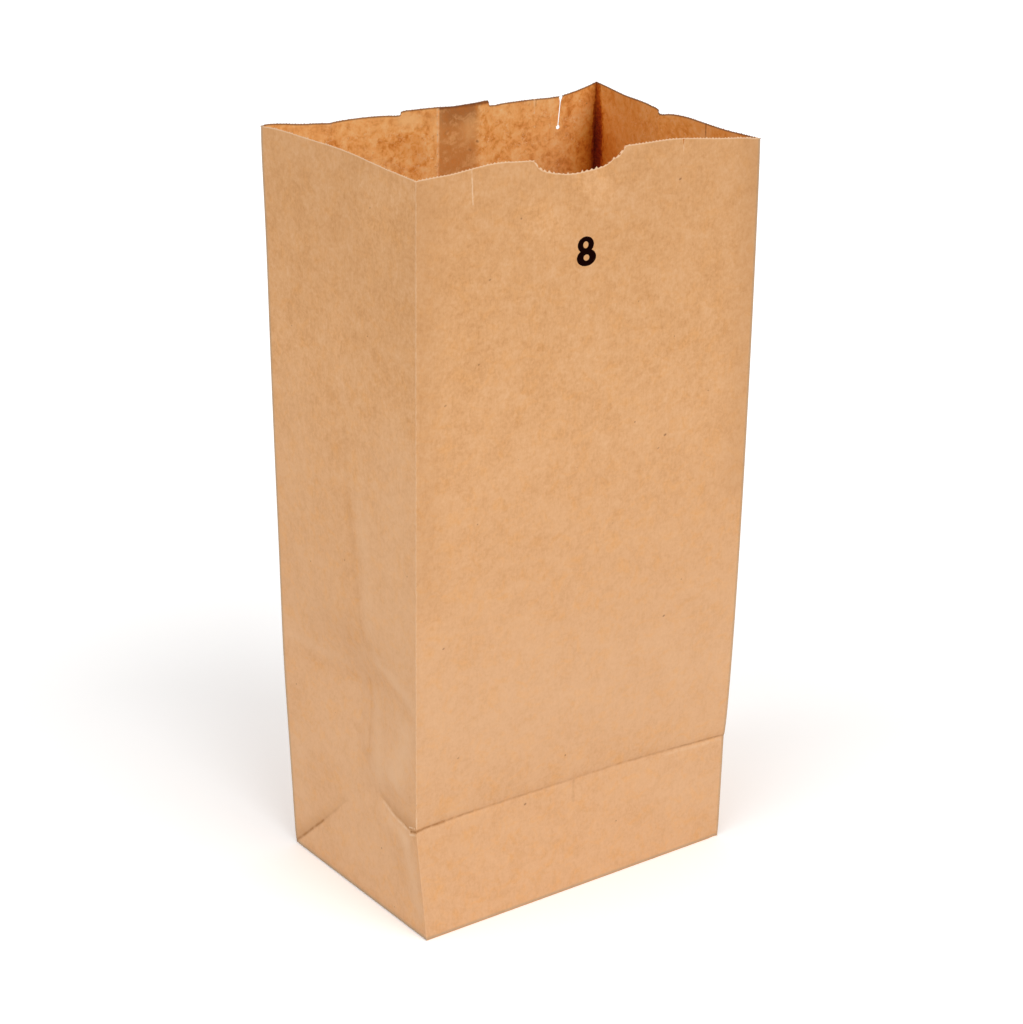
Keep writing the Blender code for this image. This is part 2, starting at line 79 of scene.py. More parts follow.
# The sheet. Across runs round the tube from the front left corner: front, right gusset, back, left gusset.
bag = {
    "paper": 0.1,
    "base": (154.5, 102.2),
    "mouth": (155.7, 103.9),
    "mouthShift": (0.8, -1.3),
    "turns": {"front": -4.4, "back": -5.1, "sides": 1.4},
    "cornerCuts": (316.9, 314.2, 319.2, 318.0),
    "cornerBow": {"frontRight": 1.3, "back": 1.2, "low": 0.7},
    "cornerRidge": (0.2, 1.0),  # how far the fold line stands out, and how wide
    "backLeftFlare": (0.65, 32.0),  # at the mouth: outwards, and how far down
    "backLeftBulge": (0.35, 88.0, 36.0),  # lower down: outwards, height and half length
    "flapOverlap": 26.0,
    "seamStart": 79.8,
    "seamOverlap": 23.2,
    "pinch": (-1.3, 4.6),
    "frontSwell": 1.6,
    "backSwell": 2.5,
    "fullness": 0.7,  # exponent of a swell; below 1 it stays broad towards its ends
    "setBack": {"depth": 1.2, "fade": 8},  # the front lies back at its fold, less and less above it
    "pucker": {"length": 19.0, "depth": 2.0, "proud": 0.6},  # of the left gusset, at the pinch
    # waviness of the whole sheet; it grows over 1/6 of a panel from its folds and over 40 mm from the base
    "cockle": {"height": 0.22, "length": 38.0, "upwards": 0.6, "panelShare": 6, "rise": 40},
    "creaseShare": 60,  # creases are at full depth 1/60 of a panel away from its folds
    "ridgeRise": 6,  # height from which the fold lines stand out in full
    "ridgeSlant": 0.7,  # they point outwards on both axes
}

# Layers of the bottom, in sheets above the ground
layers = {"frontFlap": 0, "backFlap": 1, "gussets": 3, "floor": 4}

edges = {
    "front": [(0, 316.9), (8, 317.3), (15, 317.55), (23, 318.4), (30, 319.15), (37, 319.35),
              (44, 318.75), (50.6, 318.2), (51.5, 317.0), (52.6, 315.5), (54.2, 314.3), (58, 312.7),
              (61.5, 312.0), (65.5, 311.25), (70, 311.0), (75.5, 311.35), (81.7, 312.05), (84.8, 313.2),
              (87.05, 314.8), (88.9, 315.1), (90.7, 316.8), (91.6, 318.2), (92.2, 318.9), (93.4, 319.05),
              (101, 319.0), (112, 319.1), (118, 318.7), (126.8, 317.75), (134, 316.8), (141, 316.1),
              (148, 315.4), (155.7, 314.2)],
    "right": [(0, 314.2), (5, 314.4), (10, 314.6), (16, 314.8), (20, 315.15), (24.3, 315.55),
              (30.5, 316.25), (36, 316.8), (41, 317.0), (46, 316.75), (51.6, 315.9), (52.4, 317.7),
              (56, 318.0), (62, 318.35), (68, 318.4), (74, 318.25), (80, 318.25), (86, 318.5),
              (92, 318.8), (98, 319.1), (103.9, 319.2)],
    "back": [(0, 318.0), (2, 318.5), (5, 318.4), (10, 317.9), (14, 317.3), (18, 316.8), (24, 316.4),
             (30.3, 315.8), (31.1, 316.0), (38, 316.35), (44, 316.4), (50, 316.25), (56, 315.9),
             (61.8, 315.45), (62.4, 316.85), (68, 317.0), (74, 316.95), (80, 316.75), (86, 316.4),
             (92, 316.55), (98, 316.75), (102.9, 316.9), (103.5, 314.85), (110, 315.05), (122, 315.15),
             (128, 315.05), (133, 314.9), (137.5, 315.1), (143, 315.9), (148, 317.0), (152, 318.1),
             (155.7, 319.2)],
    "left": [(0, 318.0), (8, 318.6), (18, 318.85), (24, 318.75), (36, 318.7), (46, 318.7), (54, 318.5),
             (60, 318.4), (66, 318.2), (72, 317.85), (78, 317.65), (84, 317.35), (90, 317.25),
             (97, 317.05), (103.9, 316.9)],
}

# Knife nicks: distance across the panel, depth, width below and at the mouth, lean and radius of the hole
nicks = [
    {"panel": 0, "at": 119.0, "depth": 2.4, "slot": 0.25, "mouth": 0.8, "lean": 0.0, "hole": 0.0},
    {"panel": 1, "at": 27.2, "depth": 4.6, "slot": 0.03, "mouth": 0.06, "lean": 0.0, "hole": 0.0},
    {"panel": 2, "at": 18.8, "depth": 13.4, "slot": 0.4, "mouth": 1.7, "lean": -1.2, "hole": 0.85},
    {"panel": 2, "at": 125.2, "depth": 6.0, "slot": 0.04, "mouth": 0.1, "lean": 0.0, "hole": 0.0},
]

frontFold = [(0, 48.4), (16, 49.3), (42, 49.3), (70, 49.8), (78, 50.4), (112, 50.6), (133, 50.1),
             (155.7, 49.7)]

gussets = {
    "left": {"tip": 3.6, "hollow": 7.2, "belly": -0.6, "mouth": 2.2},
    "right": {"tip": 4.0, "hollow": 6.5, "belly": 4.5, "mouth": 8.9},
    "hollowHeight": 92.0,
    "bellyHeight": 130.0,
}

panelWidths = (bag["mouth"][0], bag["mouth"][1], bag["mouth"][0], bag["mouth"][1])
panelStarts = [sum(panelWidths[:k]) for k in range(5)]
panelNames = ("front", "right", "back", "left")
triangleHeight = bag["base"][1] / 2


def onLeft(u, height):  # a place in the left gusset, u from its back edge
    return (panelStarts[3] + u * panelWidths[3], height)


def onRight(u, height):
    return (panelStarts[1] + u * panelWidths[1], height)


def leftLines(rows):  # lines in the left gusset, from the u and height of both ends
    return [(onLeft(a, b), onLeft(c, d), *rest) for a, b, c, d, *rest in rows]


leftFold = [(0, 51.1), (50, 51.1), (64, 52.6), (77.7, 52.6), (92, 50.0), (103.9, 48.4)]

# Creases and dents: from, to, depth (negative stands out), half width, dark share (painted shade in the
# crease) and pale share (mostly a painted highlight beside a fold, else a pale score or nick line)
creases = [
    ((0, 48.4), (14, 49.0), 0.35, 1.1, 0.85, 0.0),
    ((14, 49.0), (28, 49.3), 0.35, 0.9, 0.60, 0.0),
    ((28, 49.3), (62, 49.6), 0.30, 0.9, 0.40, 0.0),
    ((62, 49.6), (100, 50.5), 0.25, 0.9, 0.26, 0.0),
    ((100, 50.5), (133, 50.1), 0.30, 0.9, 0.40, 0.0),
    ((133, 50.1), (155.7, 49.7), 0.35, 0.9, 0.60, 0.0),
    ((125, 48.4), (154, 47.9), 0, 1.2, 0.0, 0.25),
    ((77.2, 40.0), (77.9, 49.0), 0.25, 1.2, 0.22, 0.0),
    (onLeft(0.955, 46.4), onLeft(1.0, 48.2), 0.4, 0.7, 0.60, 0.0),
    (onLeft(0.88, 45.8), onLeft(0.945, 46.6), 0.7, 0.8, 0.50, 0.0),
    (onLeft(0.79, 46.3), onLeft(0.88, 45.8), 0.8, 1.2, 0.26, 0.0),
    (onLeft(0.70, 48.3), onLeft(0.79, 46.3), 0.6, 1.4, 0.14, 0.0),
    (onLeft(0.675, 50.3), onLeft(0.70, 48.3), 0.4, 1.4, 0.0, 0.0),
    (onLeft(0.94, 45.6), onLeft(1.0, 48.1), 0, 0.9, 1.0, 0.0),
    (onLeft(0.925, 46.8), onLeft(0.985, 49.0), 0, 0.6, 0.0, 0.8),
    ((0, 50.2), (0.2, 54.5), 0, 0.8, 0.0, 0.7),
    (onLeft(0.93, 43.9), onLeft(0.985, 46.0), 0, 0.8, 0.0, 0.6),
    (onLeft(0.88, 44.9), onLeft(0.93, 44.9), 0, 0.9, 0.0, 0.50),
    (onLeft(0.79, 45.4), onLeft(0.88, 44.9), 0, 1.0, 0.0, 0.50),
    (onLeft(0.69, 47.5), onLeft(0.79, 45.4), 0, 1.0, 0.0, 0.40),
    (onLeft(0.0, 1.0), onLeft(0.22, 20.0), 0.5, 1.1, 0.75, 0.0),
    (onLeft(0.22, 20.0), onLeft(0.34, 30.5), 0.4, 1.4, 0.22, 0.0),
    (onLeft(0.34, 30.5), onLeft(0.56, 49.0), 0.3, 2.6, 0.0, 0.0),
    (onLeft(0.16, 100.4), onLeft(0.40, 99.6), -0.35, 4.5, 0.0, 0.0),
    (onLeft(0.40, 99.6), onLeft(0.74, 110.0), -0.3, 4.5, 0.0, 0.0),
    (onLeft(0.74, 110.0), onLeft(0.95, 103.0), -0.3, 4.0, 0.0, 0.0),
    (onLeft(0.52, 207.0), onLeft(0.535, 180.0), 0.2, 2.6, 0.0, 0.0),
    (onLeft(0.535, 180.0), onLeft(0.59, 150.0), 0.3, 2.6, 0.05, 0.0),
    (onLeft(0.59, 150.0), onLeft(0.612, 119.0), 0.25, 2.6, 0.05, 0.0),
    (onLeft(0.59, 99.0), onLeft(0.605, 60.0), 0.25, 2.6, 0.07, 0.0),
    (onRight(0.0, 0.0), onRight(0.5, 51.0), 0.5, 3.0, 0.25, 0.0),
    (onRight(1.0, 0.0), onRight(0.5, 51.0), 0.5, 3.0, 0.25, 0.0),
    (onRight(0.0, 50.0), onRight(0.5, 52.0), 0.4, 2.0, 0.30, 0.0),
    ((0, 0), (0, 47), 0, 0.8, 0.0, 0.15),
    ((519.2, 0), (519.2, 47), 0, 0.8, 0.0, 0.15),
    ((0, 51), (0, 318), 0, 0.6, 0.0, 0.36),
    ((519.2, 51), (519.2, 318), 0, 0.9, 0.0, 0.36),
    ((259.6, 0), (259.6, 319), 0, 0.5, 0.0, 0.3),
    ((24.2, 304.8), (23.8, 320), 0, 0.45, 0.0, 0.7),
    ((119, 313.6), (119, 320), 0, 0.4, 0.0, 0.5),
    ((335.5, 0), (335.5, 318), 0, 0.6, 0.0, 0.7),
]

# The same for the marks that only the inside shows, at the nicks and the seam, with painted shade along the
# seam's rim and a painted highlight at the seam's edge
innerMarksAndShade = [
    ((290.1, 309.0), (290.2, 316.5), 0, 0.6, 0.0, 0.75),
    ((289.3, 312.0), (289.4, 316.5), 0, 0.4, 0.5, 0.0),
    ((182.9, 310.0), (182.9, 316.0), 0, 0.55, 0.85, 0.0),
    ((336.0, 0.0), (336.0, 316.0), 0, 0.9, 0.0, 0.75),
    ((317.2, 300.0), (317.6, 300.4), 0, 0.9, 0.8, 0.0),
    ((320.6, 296.8), (321.2, 297.2), 0, 0.9, 0.5, 0.0),
    ((331.0, 306.4), (332.6, 305.2), 0, 0.8, 0.3, 0.0),
    ((312.4, 316.3), (323.0, 316.2), 0, 1.5, 1.0, 0.0),
    ((323.0, 316.2), (335.4, 316.3), 0, 1.2, 0.85, 0.0),
]

# Painted shade along two outer folds and a painted contact shadow along the base: from, to, reach and share
outlines = [
    ((155.6, 0), (155.6, 320), 1.2, 0.45),
    ((415.4, 0), (415.4, 320), 1.6, 0.52),
    ((0, 0), (155.7, 0), 2.0, 0.62),
    (onLeft(0.0, 0), onLeft(1.0, 0), 2.4, 0.70),
]

# Shade on the upper side of a crease, sharp at the crease: from, to (rightwards), reach and share
foldShades = leftLines([
    (0.945, 46.6, 1.0, 48.8, 6.0, 0.50),
    (0.88, 45.8, 0.945, 46.6, 8.0, 0.66),
    (0.79, 46.3, 0.88, 45.8, 7.0, 0.58),
    (0.70, 48.3, 0.79, 46.3, 6.0, 0.44),
    (0.675, 50.3, 0.70, 48.3, 4.0, 0.25),
    (0.0, 1.0, 0.20, 18.0, 7.0, 0.42),
    (0.20, 18.0, 0.38, 34.0, 7.0, 0.26),
])

# Specks of bark that stand out on the front and the left gusset: place, half size and share
specks = [
    ((117.7, 302.6), 0.7, 0.7), ((31.6, 274.8), 0.6, 0.5), ((12.6, 227.8), 0.55, 0.5),
    ((114.3, 197.2), 0.75, 0.75), ((111.2, 192.1), 0.5, 0.5), ((118.0, 115.9), 0.65, 0.7),
    ((12.3, 126.4), 0.55, 0.6), ((19.6, 76.1), 0.5, 0.5), ((53.2, 45.1), 0.7, 0.7),
    (onLeft(0.70, 300.0), 0.5, 0.5),
]
stroke = 0.2  # a speck is drawn as a very short line
speckLines = [((x - stroke, y), (x + stroke, y + stroke), *look) for (x, y), *look in specks]

# Broad changes of tone, painted light and shade on facets, dents and the foot of the sheet: from, to, half
# width, lighter (positive) or darker
paintedShading = leftLines([
    (0.90, 40.0, 0.955, 14.0, 5.0, 0.42),
    (0.74, 44.0, 0.90, 40.0, 2.6, 0.34),
    (0.84, 66.0, 0.92, 86.0, 7.0, 0.34),
    (0.66, 60.0, 0.84, 66.0, 6.0, 0.20),
    (0.03, 101.5, 0.36, 99.8, 2.4, 0.26),
    (0.12, 94.5, 0.44, 95.0, 3.4, -0.16),
    (0.40, 101.0, 0.70, 112.5, 2.6, 0.15),
    (0.70, 112.5, 0.98, 102.5, 2.2, 0.26),
    (0.60, 99.5, 0.80, 103.5, 3.0, -0.14),
    (0.80, 104.0, 0.98, 95.5, 2.4, -0.16),
    (0.46, 253.0, 0.52, 219.0, 2.6, 0.22),
    (0.52, 207.0, 0.54, 175.0, 1.8, -0.14),
    (0.54, 175.0, 0.61, 120.0, 2.0, -0.22),
    (0.585, 98.0, 0.60, 62.0, 2.0, -0.22),
    (0.62, 180.0, 0.68, 126.0, 4.5, 0.24),
    (0.66, 92.0, 0.70, 62.0, 4.5, 0.26),
    (0.20, 31.0, 0.34, 44.0, 7.0, -0.06),
    (0.06, 50.0, 0.06, 24.0, 9.0, 0.22),
    (0.08, 1.0, 0.94, 1.0, 2.4, -0.30),
    (0.50, 15.0, 0.50, 66.0, 48.0, 0.20),
    (0.90, 100.0, 0.85, 200.0, 22.0, 0.22),
    (0.20, 120.0, 0.15, 220.0, 20.0, 0.12),
    (0.75, 300.0, 0.90, 310.0, 16.0, 0.20),
]) + [
    ((154.0, 170.0), (155.0, 312.0), 9.0, -0.28),
    ((3.0, 150.0), (3.0, 312.0), 8.0, -0.20),
    ((75.3, 308.5), (80.4, 303.2), 6.0, 0.40),
    ((53.7, 297.2), (60.0, 292.0), 9.0, 0.22),
    ((10.0, 95.0), (146.0, 90.0), 34.0, 0.20),
    ((130.0, 30.0), (150.0, 28.0), 16.0, 0.16),
    ((8.0, 42.0), (60.0, 44.0), 8.0, -0.06),
]

mouthShade = {"share": -0.30, "from": 190, "over": 130}  # painted shade: the outside darkens towards the mouth

# Painted light and shade inside: darker over the right gusset towards the back right corner, lighter beside
# it on the back and in patches at the seam: from, to, half width, lighter (positive) or darker
innerPaintedShading = [
    ((176.0, 0.0), (176.0, 320.0), 30.0, -0.55),
    ((236.0, 0.0), (236.0, 320.0), 30.0, -0.62),
    ((281.0, 0.0), (281.0, 320.0), 20.0, 0.26),
    ((347.0, 312.6), (352.0, 313.4), 3.0, 0.70),
    ((340.0, 313.0), (352.0, 311.0), 6.0, 0.20),
    ((337.6, 280.0), (337.6, 312.0), 2.2, 0.30),
    ((321.6, 308.0), (321.2, 303.5), 3.2, 0.42),
    ((362.0, 316.0), (400.0, 314.0), 7.0, 0.25),
    ((372.0, 300.0), (356.0, 292.0), 5.0, 0.22),
    ((290.0, 316.0), (308.0, 314.0), 6.0, 0.15),
    ((350.0, 304.0), (343.0, 296.0), 7.0, -0.25),
]


def cornerLine(corner):  # base point, mouth point and cut height of a corner crease
    half = Vector((bag["base"][0] / 2, bag["base"][1] / 2, 0))
    sides = ((-1, -1), (1, -1), (1, 1), (-1, 1))[corner]
    turn = math.radians(bag["turns"]["front" if corner < 2 else "back"])
    sideTurn = math.radians(bag["turns"]["sides"])
    across = Vector((math.cos(turn), math.sin(turn), 0)) * bag["mouth"][0] / 2
    toBack = Vector((-math.sin(sideTurn), math.cos(sideTurn), 0)) * bag["mouth"][1] / 2
    middle = Vector((bag["mouthShift"][0], bag["mouthShift"][1], 0))
    mouth = middle + across * sides[0] + toBack * sides[1]
    return Vector((half.x * sides[0], half.y * sides[1], 0)), mouth, bag["cornerCuts"][corner]


cornerLines = [cornerLine(corner) for corner in range(4)]


def cornerAt(corner, height):
    base, mouth, cut = cornerLines[corner]
    point = base.lerp(mouth, height / cut)
    bow = bag["cornerBow"]
    if corner == 0:
        fold = frontFold[0][1]
        share = max(0.0, min(height / fold, (cut - height) / (cut - fold)))
        return point + Vector((bag["pinch"][0], bag["pinch"][1], 0)) * share
    outwards = Vector((math.copysign(1, base.x), math.copysign(1, base.y), 0))
    if corner == 1:
        fold = frontFold[-1][1]
        up = max(0.0, height - fold) / (cut - fold)
        return point + outwards * bow["frontRight"] * arch(up ** bow["low"]) ** bag["fullness"]
    if corner == 3:
        flare, bulge = bag["backLeftFlare"], bag["backLeftBulge"]
        atMouth = flare[0] * hill(cut - height, flare[1])
        point += outwards * (atMouth + bulge[0] * hill(height - bulge[1], bulge[2]))
    return point + outwards * bow["back"] * arch(height / cut) ** bag["fullness"]


def edgeHeight(panel, across):  # across a panel in mm, from its own start
    width = panelWidths[panel]
    if panel == 2:
        return curveAt(edges["back"], width - across)
    return curveAt(edges[panelNames[panel]], across)


def frontDepth(u, height, cut):
    fold = curveAt(frontFold, u * panelWidths[0])
    back = bag["setBack"]
    if height <= fold:
        return back["depth"] * arch(u) * height / fold
    up = (height - fold) / (cut - fold)
    swell = bag["frontSwell"] * arch(u) * arch(up) ** bag["fullness"]
    return back["depth"] * arch(u) * (1 - up) ** back["fade"] - swell


def gussetDepth(side, u, height, cut):
    push = gussets[side]
    if height <= triangleHeight:
        reach = height / triangleHeight
        toValley = min(u, 1 - u) / (reach / 2) if reach > 0 else 1.0
        return push["tip"] * reach * min(1.0, toValley)
    hollow, belly = gussets["hollowHeight"], gussets["bellyHeight"]
    if height < hollow:
        rise = smooth((height - triangleHeight) / (hollow - triangleHeight))
        depth = mix(push["tip"], push["hollow"], rise)
    elif height < belly:
        depth = mix(push["hollow"], push["belly"], smooth((height - hollow) / (belly - hollow)))
    else:
        depth = mix(push["belly"], push["mouth"], smooth((height - belly) / (cut - belly)) ** 2)
    return depth * (1 - abs(2 * u - 1))


def leftPucker(u, height):  # the gusset dives in at the pinched crease and stands proud above it
    pucker = bag["pucker"]
    up = (height - frontFold[0][1]) / pucker["length"]
    if up < 0:
        dive = max(0.0, 1 + 2 * up)
    else:
        dive = 1 - (1 + pucker["proud"]) * smooth(up) + pucker["proud"] * smooth((up - 1) / 2)
    return pucker["depth"] * dive * arch(max(0.0, 2 * u - 1))


def creaseDepth(place):
    groove, ridge = 0.0, 0.0
    for start, end, depth, width, *_ in creases:
        distance = toSegment(place, Vector(start), Vector(end))
        if depth and distance < 3 * width:
            groove = max(groove, depth * hill(distance, width))
            ridge = min(ridge, depth * hill(distance, width))
    return groove + ridge


# painted light and shade at a place on the sheet, kept in the tone attribute
def paintedShadingAt(place, inside):
    shade = mouthShade["share"] * smooth((place.y - mouthShade["from"]) / mouthShade["over"])
    tone = 0.0 if inside else shade
    for start, end, width, share in innerPaintedShading if inside else paintedShading:
        distance = toSegment(place, Vector(start), Vector(end))
        if distance < 2.5 * width:
            tone += share * hill(distance, width)
    return tone


def wallPoint(panel, across, height, cut):  # outer face of the sheet, in mm
    u = across / panelWidths[panel]
    start, end = cornerAt(panel, height), cornerAt((panel + 1) % 4, height)
    along = (end - start).normalized()
    inwards = Vector((-along.y, along.x, 0))
    if panel == 0:
        depth = frontDepth(u, height, cut)
    elif panel == 1:
        depth = gussetDepth("right", u, height, cut)
    elif panel == 2:
        depth = -bag["backSwell"] * arch(u) * arch(height / cut)
    else:
        depth = gussetDepth("left", u, height, cut) + leftPucker(u, height)
    toFold = min(u, 1 - u)
    share = smooth(toFold * bag["creaseShare"])
    depth += creaseDepth(Vector((panelStarts[panel] + across, height))) * share
    point = start.lerp(end, u)
    cockle = bag["cockle"]
    fade = smooth(toFold * cockle["panelShare"]) * smooth(height / cockle["rise"])
    wave = noise.noise(Vector((point.x, point.y, height * cockle["upwards"])) / cockle["length"])
    depth += cockle["height"] * fade * wave
    ridge, ridgeWidth = bag["cornerRidge"]
    toStart, toEnd = math.exp(-across / ridgeWidth), math.exp(-(panelWidths[panel] - across) / ridgeWidth)
    stand = ridge * smooth(height / bag["ridgeRise"])
    out = Vector((math.copysign(1, start.x), math.copysign(1, start.y), 0)) * toStart
    out += Vector((math.copysign(1, end.x), math.copysign(1, end.y), 0)) * toEnd
    point += inwards * depth + out * stand * bag["ridgeSlant"]
    point.z = height
    return point


# Mesh of the sheet
grid = {
    "panelSteps": 60,
    "gussetSteps": 44,
    "cornerSteps": (0.35, 0.8, 1.5),
    "foldRows": (-1.2, -0.6, 0.6, 1.2),
    "upperSteps": 84,
    "edgeRows": 36,
    "edgeBand": 20.0,
    "leastGap": 0.7,  # between columns
    "leastRow": 0.12,  # between rows
    "holeSteps": 6,
    "stepWidth": 0.02,  # half the width of the step at an edge of the seam
    "bottomTop": 0.45,  # faces below this are the bottom's, which lies apart on the flat sheet
    "bottomPlace": (0.7, 0.5),  # its place there, in metres
    "sharpAngle": 38,
    # extra columns where the cut edge changes suddenly; those of the back are counted from its left
    "notchColumns": [50.6, 51.5, 52.1, 52.9, 53.8, 55.0, 56.5, 85.2, 86.6, 87.8, 88.9, 89.8, 90.7, 91.2,
                     91.7, 92.2, 93.4],
    "rightColumns": [51.6, 52.0, 52.4],
    "backColumns": [30.3, 31.1, 61.8, 62.4, 102.9, 103.5],
}

nicking = {"flare": 1.6, "leastHole": 0.02, "clear": 0.2, "slack": 0.01}


def sheetColumns():
    columns = []
    for panel, width in enumerate(panelWidths):
        steps = grid["gussetSteps"] if panel in (1, 3) else grid["panelSteps"]
        fixed = [0.0] + list(grid["cornerSteps"]) + [width - step for step in grid["cornerSteps"]]
        if panel == 0:
            fixed += grid["notchColumns"]
        if panel == 1:
            fixed += grid["rightColumns"]
        if panel == 2:
            fixed += [width - at for at in grid["backColumns"]]
            for step in (bag["seamStart"], bag["seamStart"] + bag["seamOverlap"]):
                fixed += [width - at for at in (step - grid["stepWidth"], step + grid["stepWidth"])]
        own = [nick for nick in nicks if nick["panel"] == panel]
        even = [width * k / steps for k in range(1, steps)]
        even = [at for at in even if min(abs(at - other) for other in fixed) > grid["leastGap"]]
        plain = [(at, None, 0) for at in fixed + even if not any(inNick(at, nick) for nick in own)]
        sides = [(nick["at"] + side * nick["slot"] / 2, nick, side) for nick in own for side in (-1, 1)]
        columns += [(panel,) + entry for entry in sorted(plain + sides, key=lambda entry: entry[0])]
    return columns


def inNick(at, nick):  # a plain column would fall into the nick
    lean = nick["lean"] / 2
    reach = max(nick["mouth"] / 2, nick["hole"]) + abs(lean) + nicking["clear"]
    return abs(at - nick["at"] - lean) < reach


def rowDepths():  # rows below the cut edge: even ones, the bottom of each nick and the round of its hole
    special = [nick["depth"] for nick in nicks if not nick["hole"]]
    for nick in nicks:
        if nick["hole"]:
            turns = [math.pi * k / grid["holeSteps"] for k in range(grid["holeSteps"] + 1)]
            special += [nick["depth"] + nick["hole"] * math.cos(turn) for turn in turns]
    even = [grid["edgeBand"] * k / grid["edgeRows"] for k in range(grid["edgeRows"])]
    clear = [depth for depth in even if min(abs(depth - other) for other in special) > grid["leastRow"]]
    return sorted(clear + special)


def columnHeights(panel, across, cut):
    if panel == 0:
        fold = curveAt(frontFold, across)
    elif panel == 1:
        fold = mix(triangleHeight, frontFold[-1][1], max(0.0, 1 - 2 * across / panelWidths[panel]))
    elif panel == 2:
        fold = triangleHeight
    else:
        fold = curveAt(leftFold, across)
    half = grid["gussetSteps"] // 2
    heights = [mix(layers["gussets"] * bag["paper"], fold, k / half) for k in range(half + 1)]
    heights += [fold + row for row in grid["foldRows"]]
    band = cut - grid["edgeBand"]
    heights += [mix(fold, band, k / grid["upperSteps"]) for k in range(1, grid["upperSteps"] + 1)]
    heights += [cut - depth for depth in rowDepths()]
    return sorted(heights)


def seamLayers(panel, across):  # sheets outside and inside the wall's outer face
    if panel != 2:
        return 0.0, 1.0
    fromLeft = panelWidths[2] - across
    seamEnd = bag["seamStart"] + bag["seamOverlap"]
    if fromLeft < bag["seamStart"]:
        return 0.0, 1.0
    if fromLeft < seamEnd:
        return 0.0, 2.0
    back = smooth((fromLeft - seamEnd) / (panelWidths[2] - seamEnd))
    return 1.0 - back, 2.0 - back


def nickedPoint(panel, across, height, cut, nick, side):  # the sides of a nick part towards the mouth
    below = cut - height
    half = nick["slot"] / 2 + (nick["mouth"] - nick["slot"]) / 2 * hill(below, nicking["flare"])
    drop = below - nick["depth"]
    if nick["hole"] and abs(drop) < nick["hole"] + nicking["slack"]:
        halfHole = math.sqrt(max(nicking["leastHole"], nick["hole"] ** 2 - drop ** 2))
        half = halfHole if drop > 0 else max(half, halfHole)
    lean = nick["lean"] * max(0.0, 1 - below / nick["depth"])
    return wallPoint(panel, across + side * (half - nick["slot"] / 2) + lean, height, cut)


def isOpen(column, height, cut):  # the gap of a nick lies between this column and the next
    nick, side = column[2:]
    return side < 0 and cut - height < nick["depth"] + nick["hole"] + nicking["slack"]


def sheetPoints(columns):
    grids = []
    for panel, across, nick, side in columns:
        cut = edgeHeight(panel, across)
        heights = columnHeights(panel, across, cut)
        if nick:
            points = [nickedPoint(panel, across, height, cut, nick, side) for height in heights]
        else:
            points = [wallPoint(panel, across, height, cut) for height in heights]
        grids.append((points, cut))
    return grids


def inwardNormals(grids):
    count, rows = len(grids), len(grids[0][0])
    normals = []
    for i in range(count):
        before, own, after = grids[i - 1][0], grids[i][0], grids[(i + 1) % count][0]
        column = []
        for j in range(rows):
            low, high = own[max(j - 1, 0)], own[min(j + 1, rows - 1)]
            up = (high - low).normalized()
            sides = []
            for a, b in ((before[j], own[j]), (own[j], after[j])):
                along = b - a
                along -= up * along.dot(up)
                sides.append(up.cross(along.normalized()) if along.length > 0.005 else Vector())
            total = (sides[0] + sides[1])
            column.append(total.normalized() if total.length > 0.1 else Vector((0, 0, 0)))
        normals.append(column)
    return normals


def fillBetween(mesh, one, other, slot):  # triangles between two rows of vertices
    faces = []
    i, k = 0, 0
    while i < len(one) - 1 or k < len(other) - 1:
        byOne = (i + 1) / len(one) <= (k + 1) / len(other)
        if k == len(other) - 1 or (byOne and i < len(one) - 1):
            corners = (one[i], other[k], one[i + 1])
            i += 1
        else:
            corners = (one[i], other[k], other[k + 1])
            k += 1
        face = mesh.faces.new(corners)
        face.material_index = slot
        faces.append(face)
    return faces


def dropFaces(mesh, faces, by):
    grown = bmesh.ops.extrude_face_region(mesh, geom=faces)["geom"]
    bmesh.ops.delete(mesh, geom=[face for face in faces if face.is_valid], context="FACES_KEEP_BOUNDARY")
    points = [thing for thing in grown if isinstance(thing, bmesh.types.BMVert)]
    bmesh.ops.translate(mesh, verts=points, vec=(0, 0, by * mm))


def ringPart(columns, ring, start, end):
    def indexOf(panel, share):
        own = [k for k, column in enumerate(columns) if column[0] == panel]
        return min(own, key=lambda k: abs(columns[k][1] / panelWidths[panel] - share))

    first, last = indexOf(*start), indexOf(*end)
    if last <= first:
        last += len(columns)
    return [ring[k % len(columns)] for k in range(first, last + 1)]


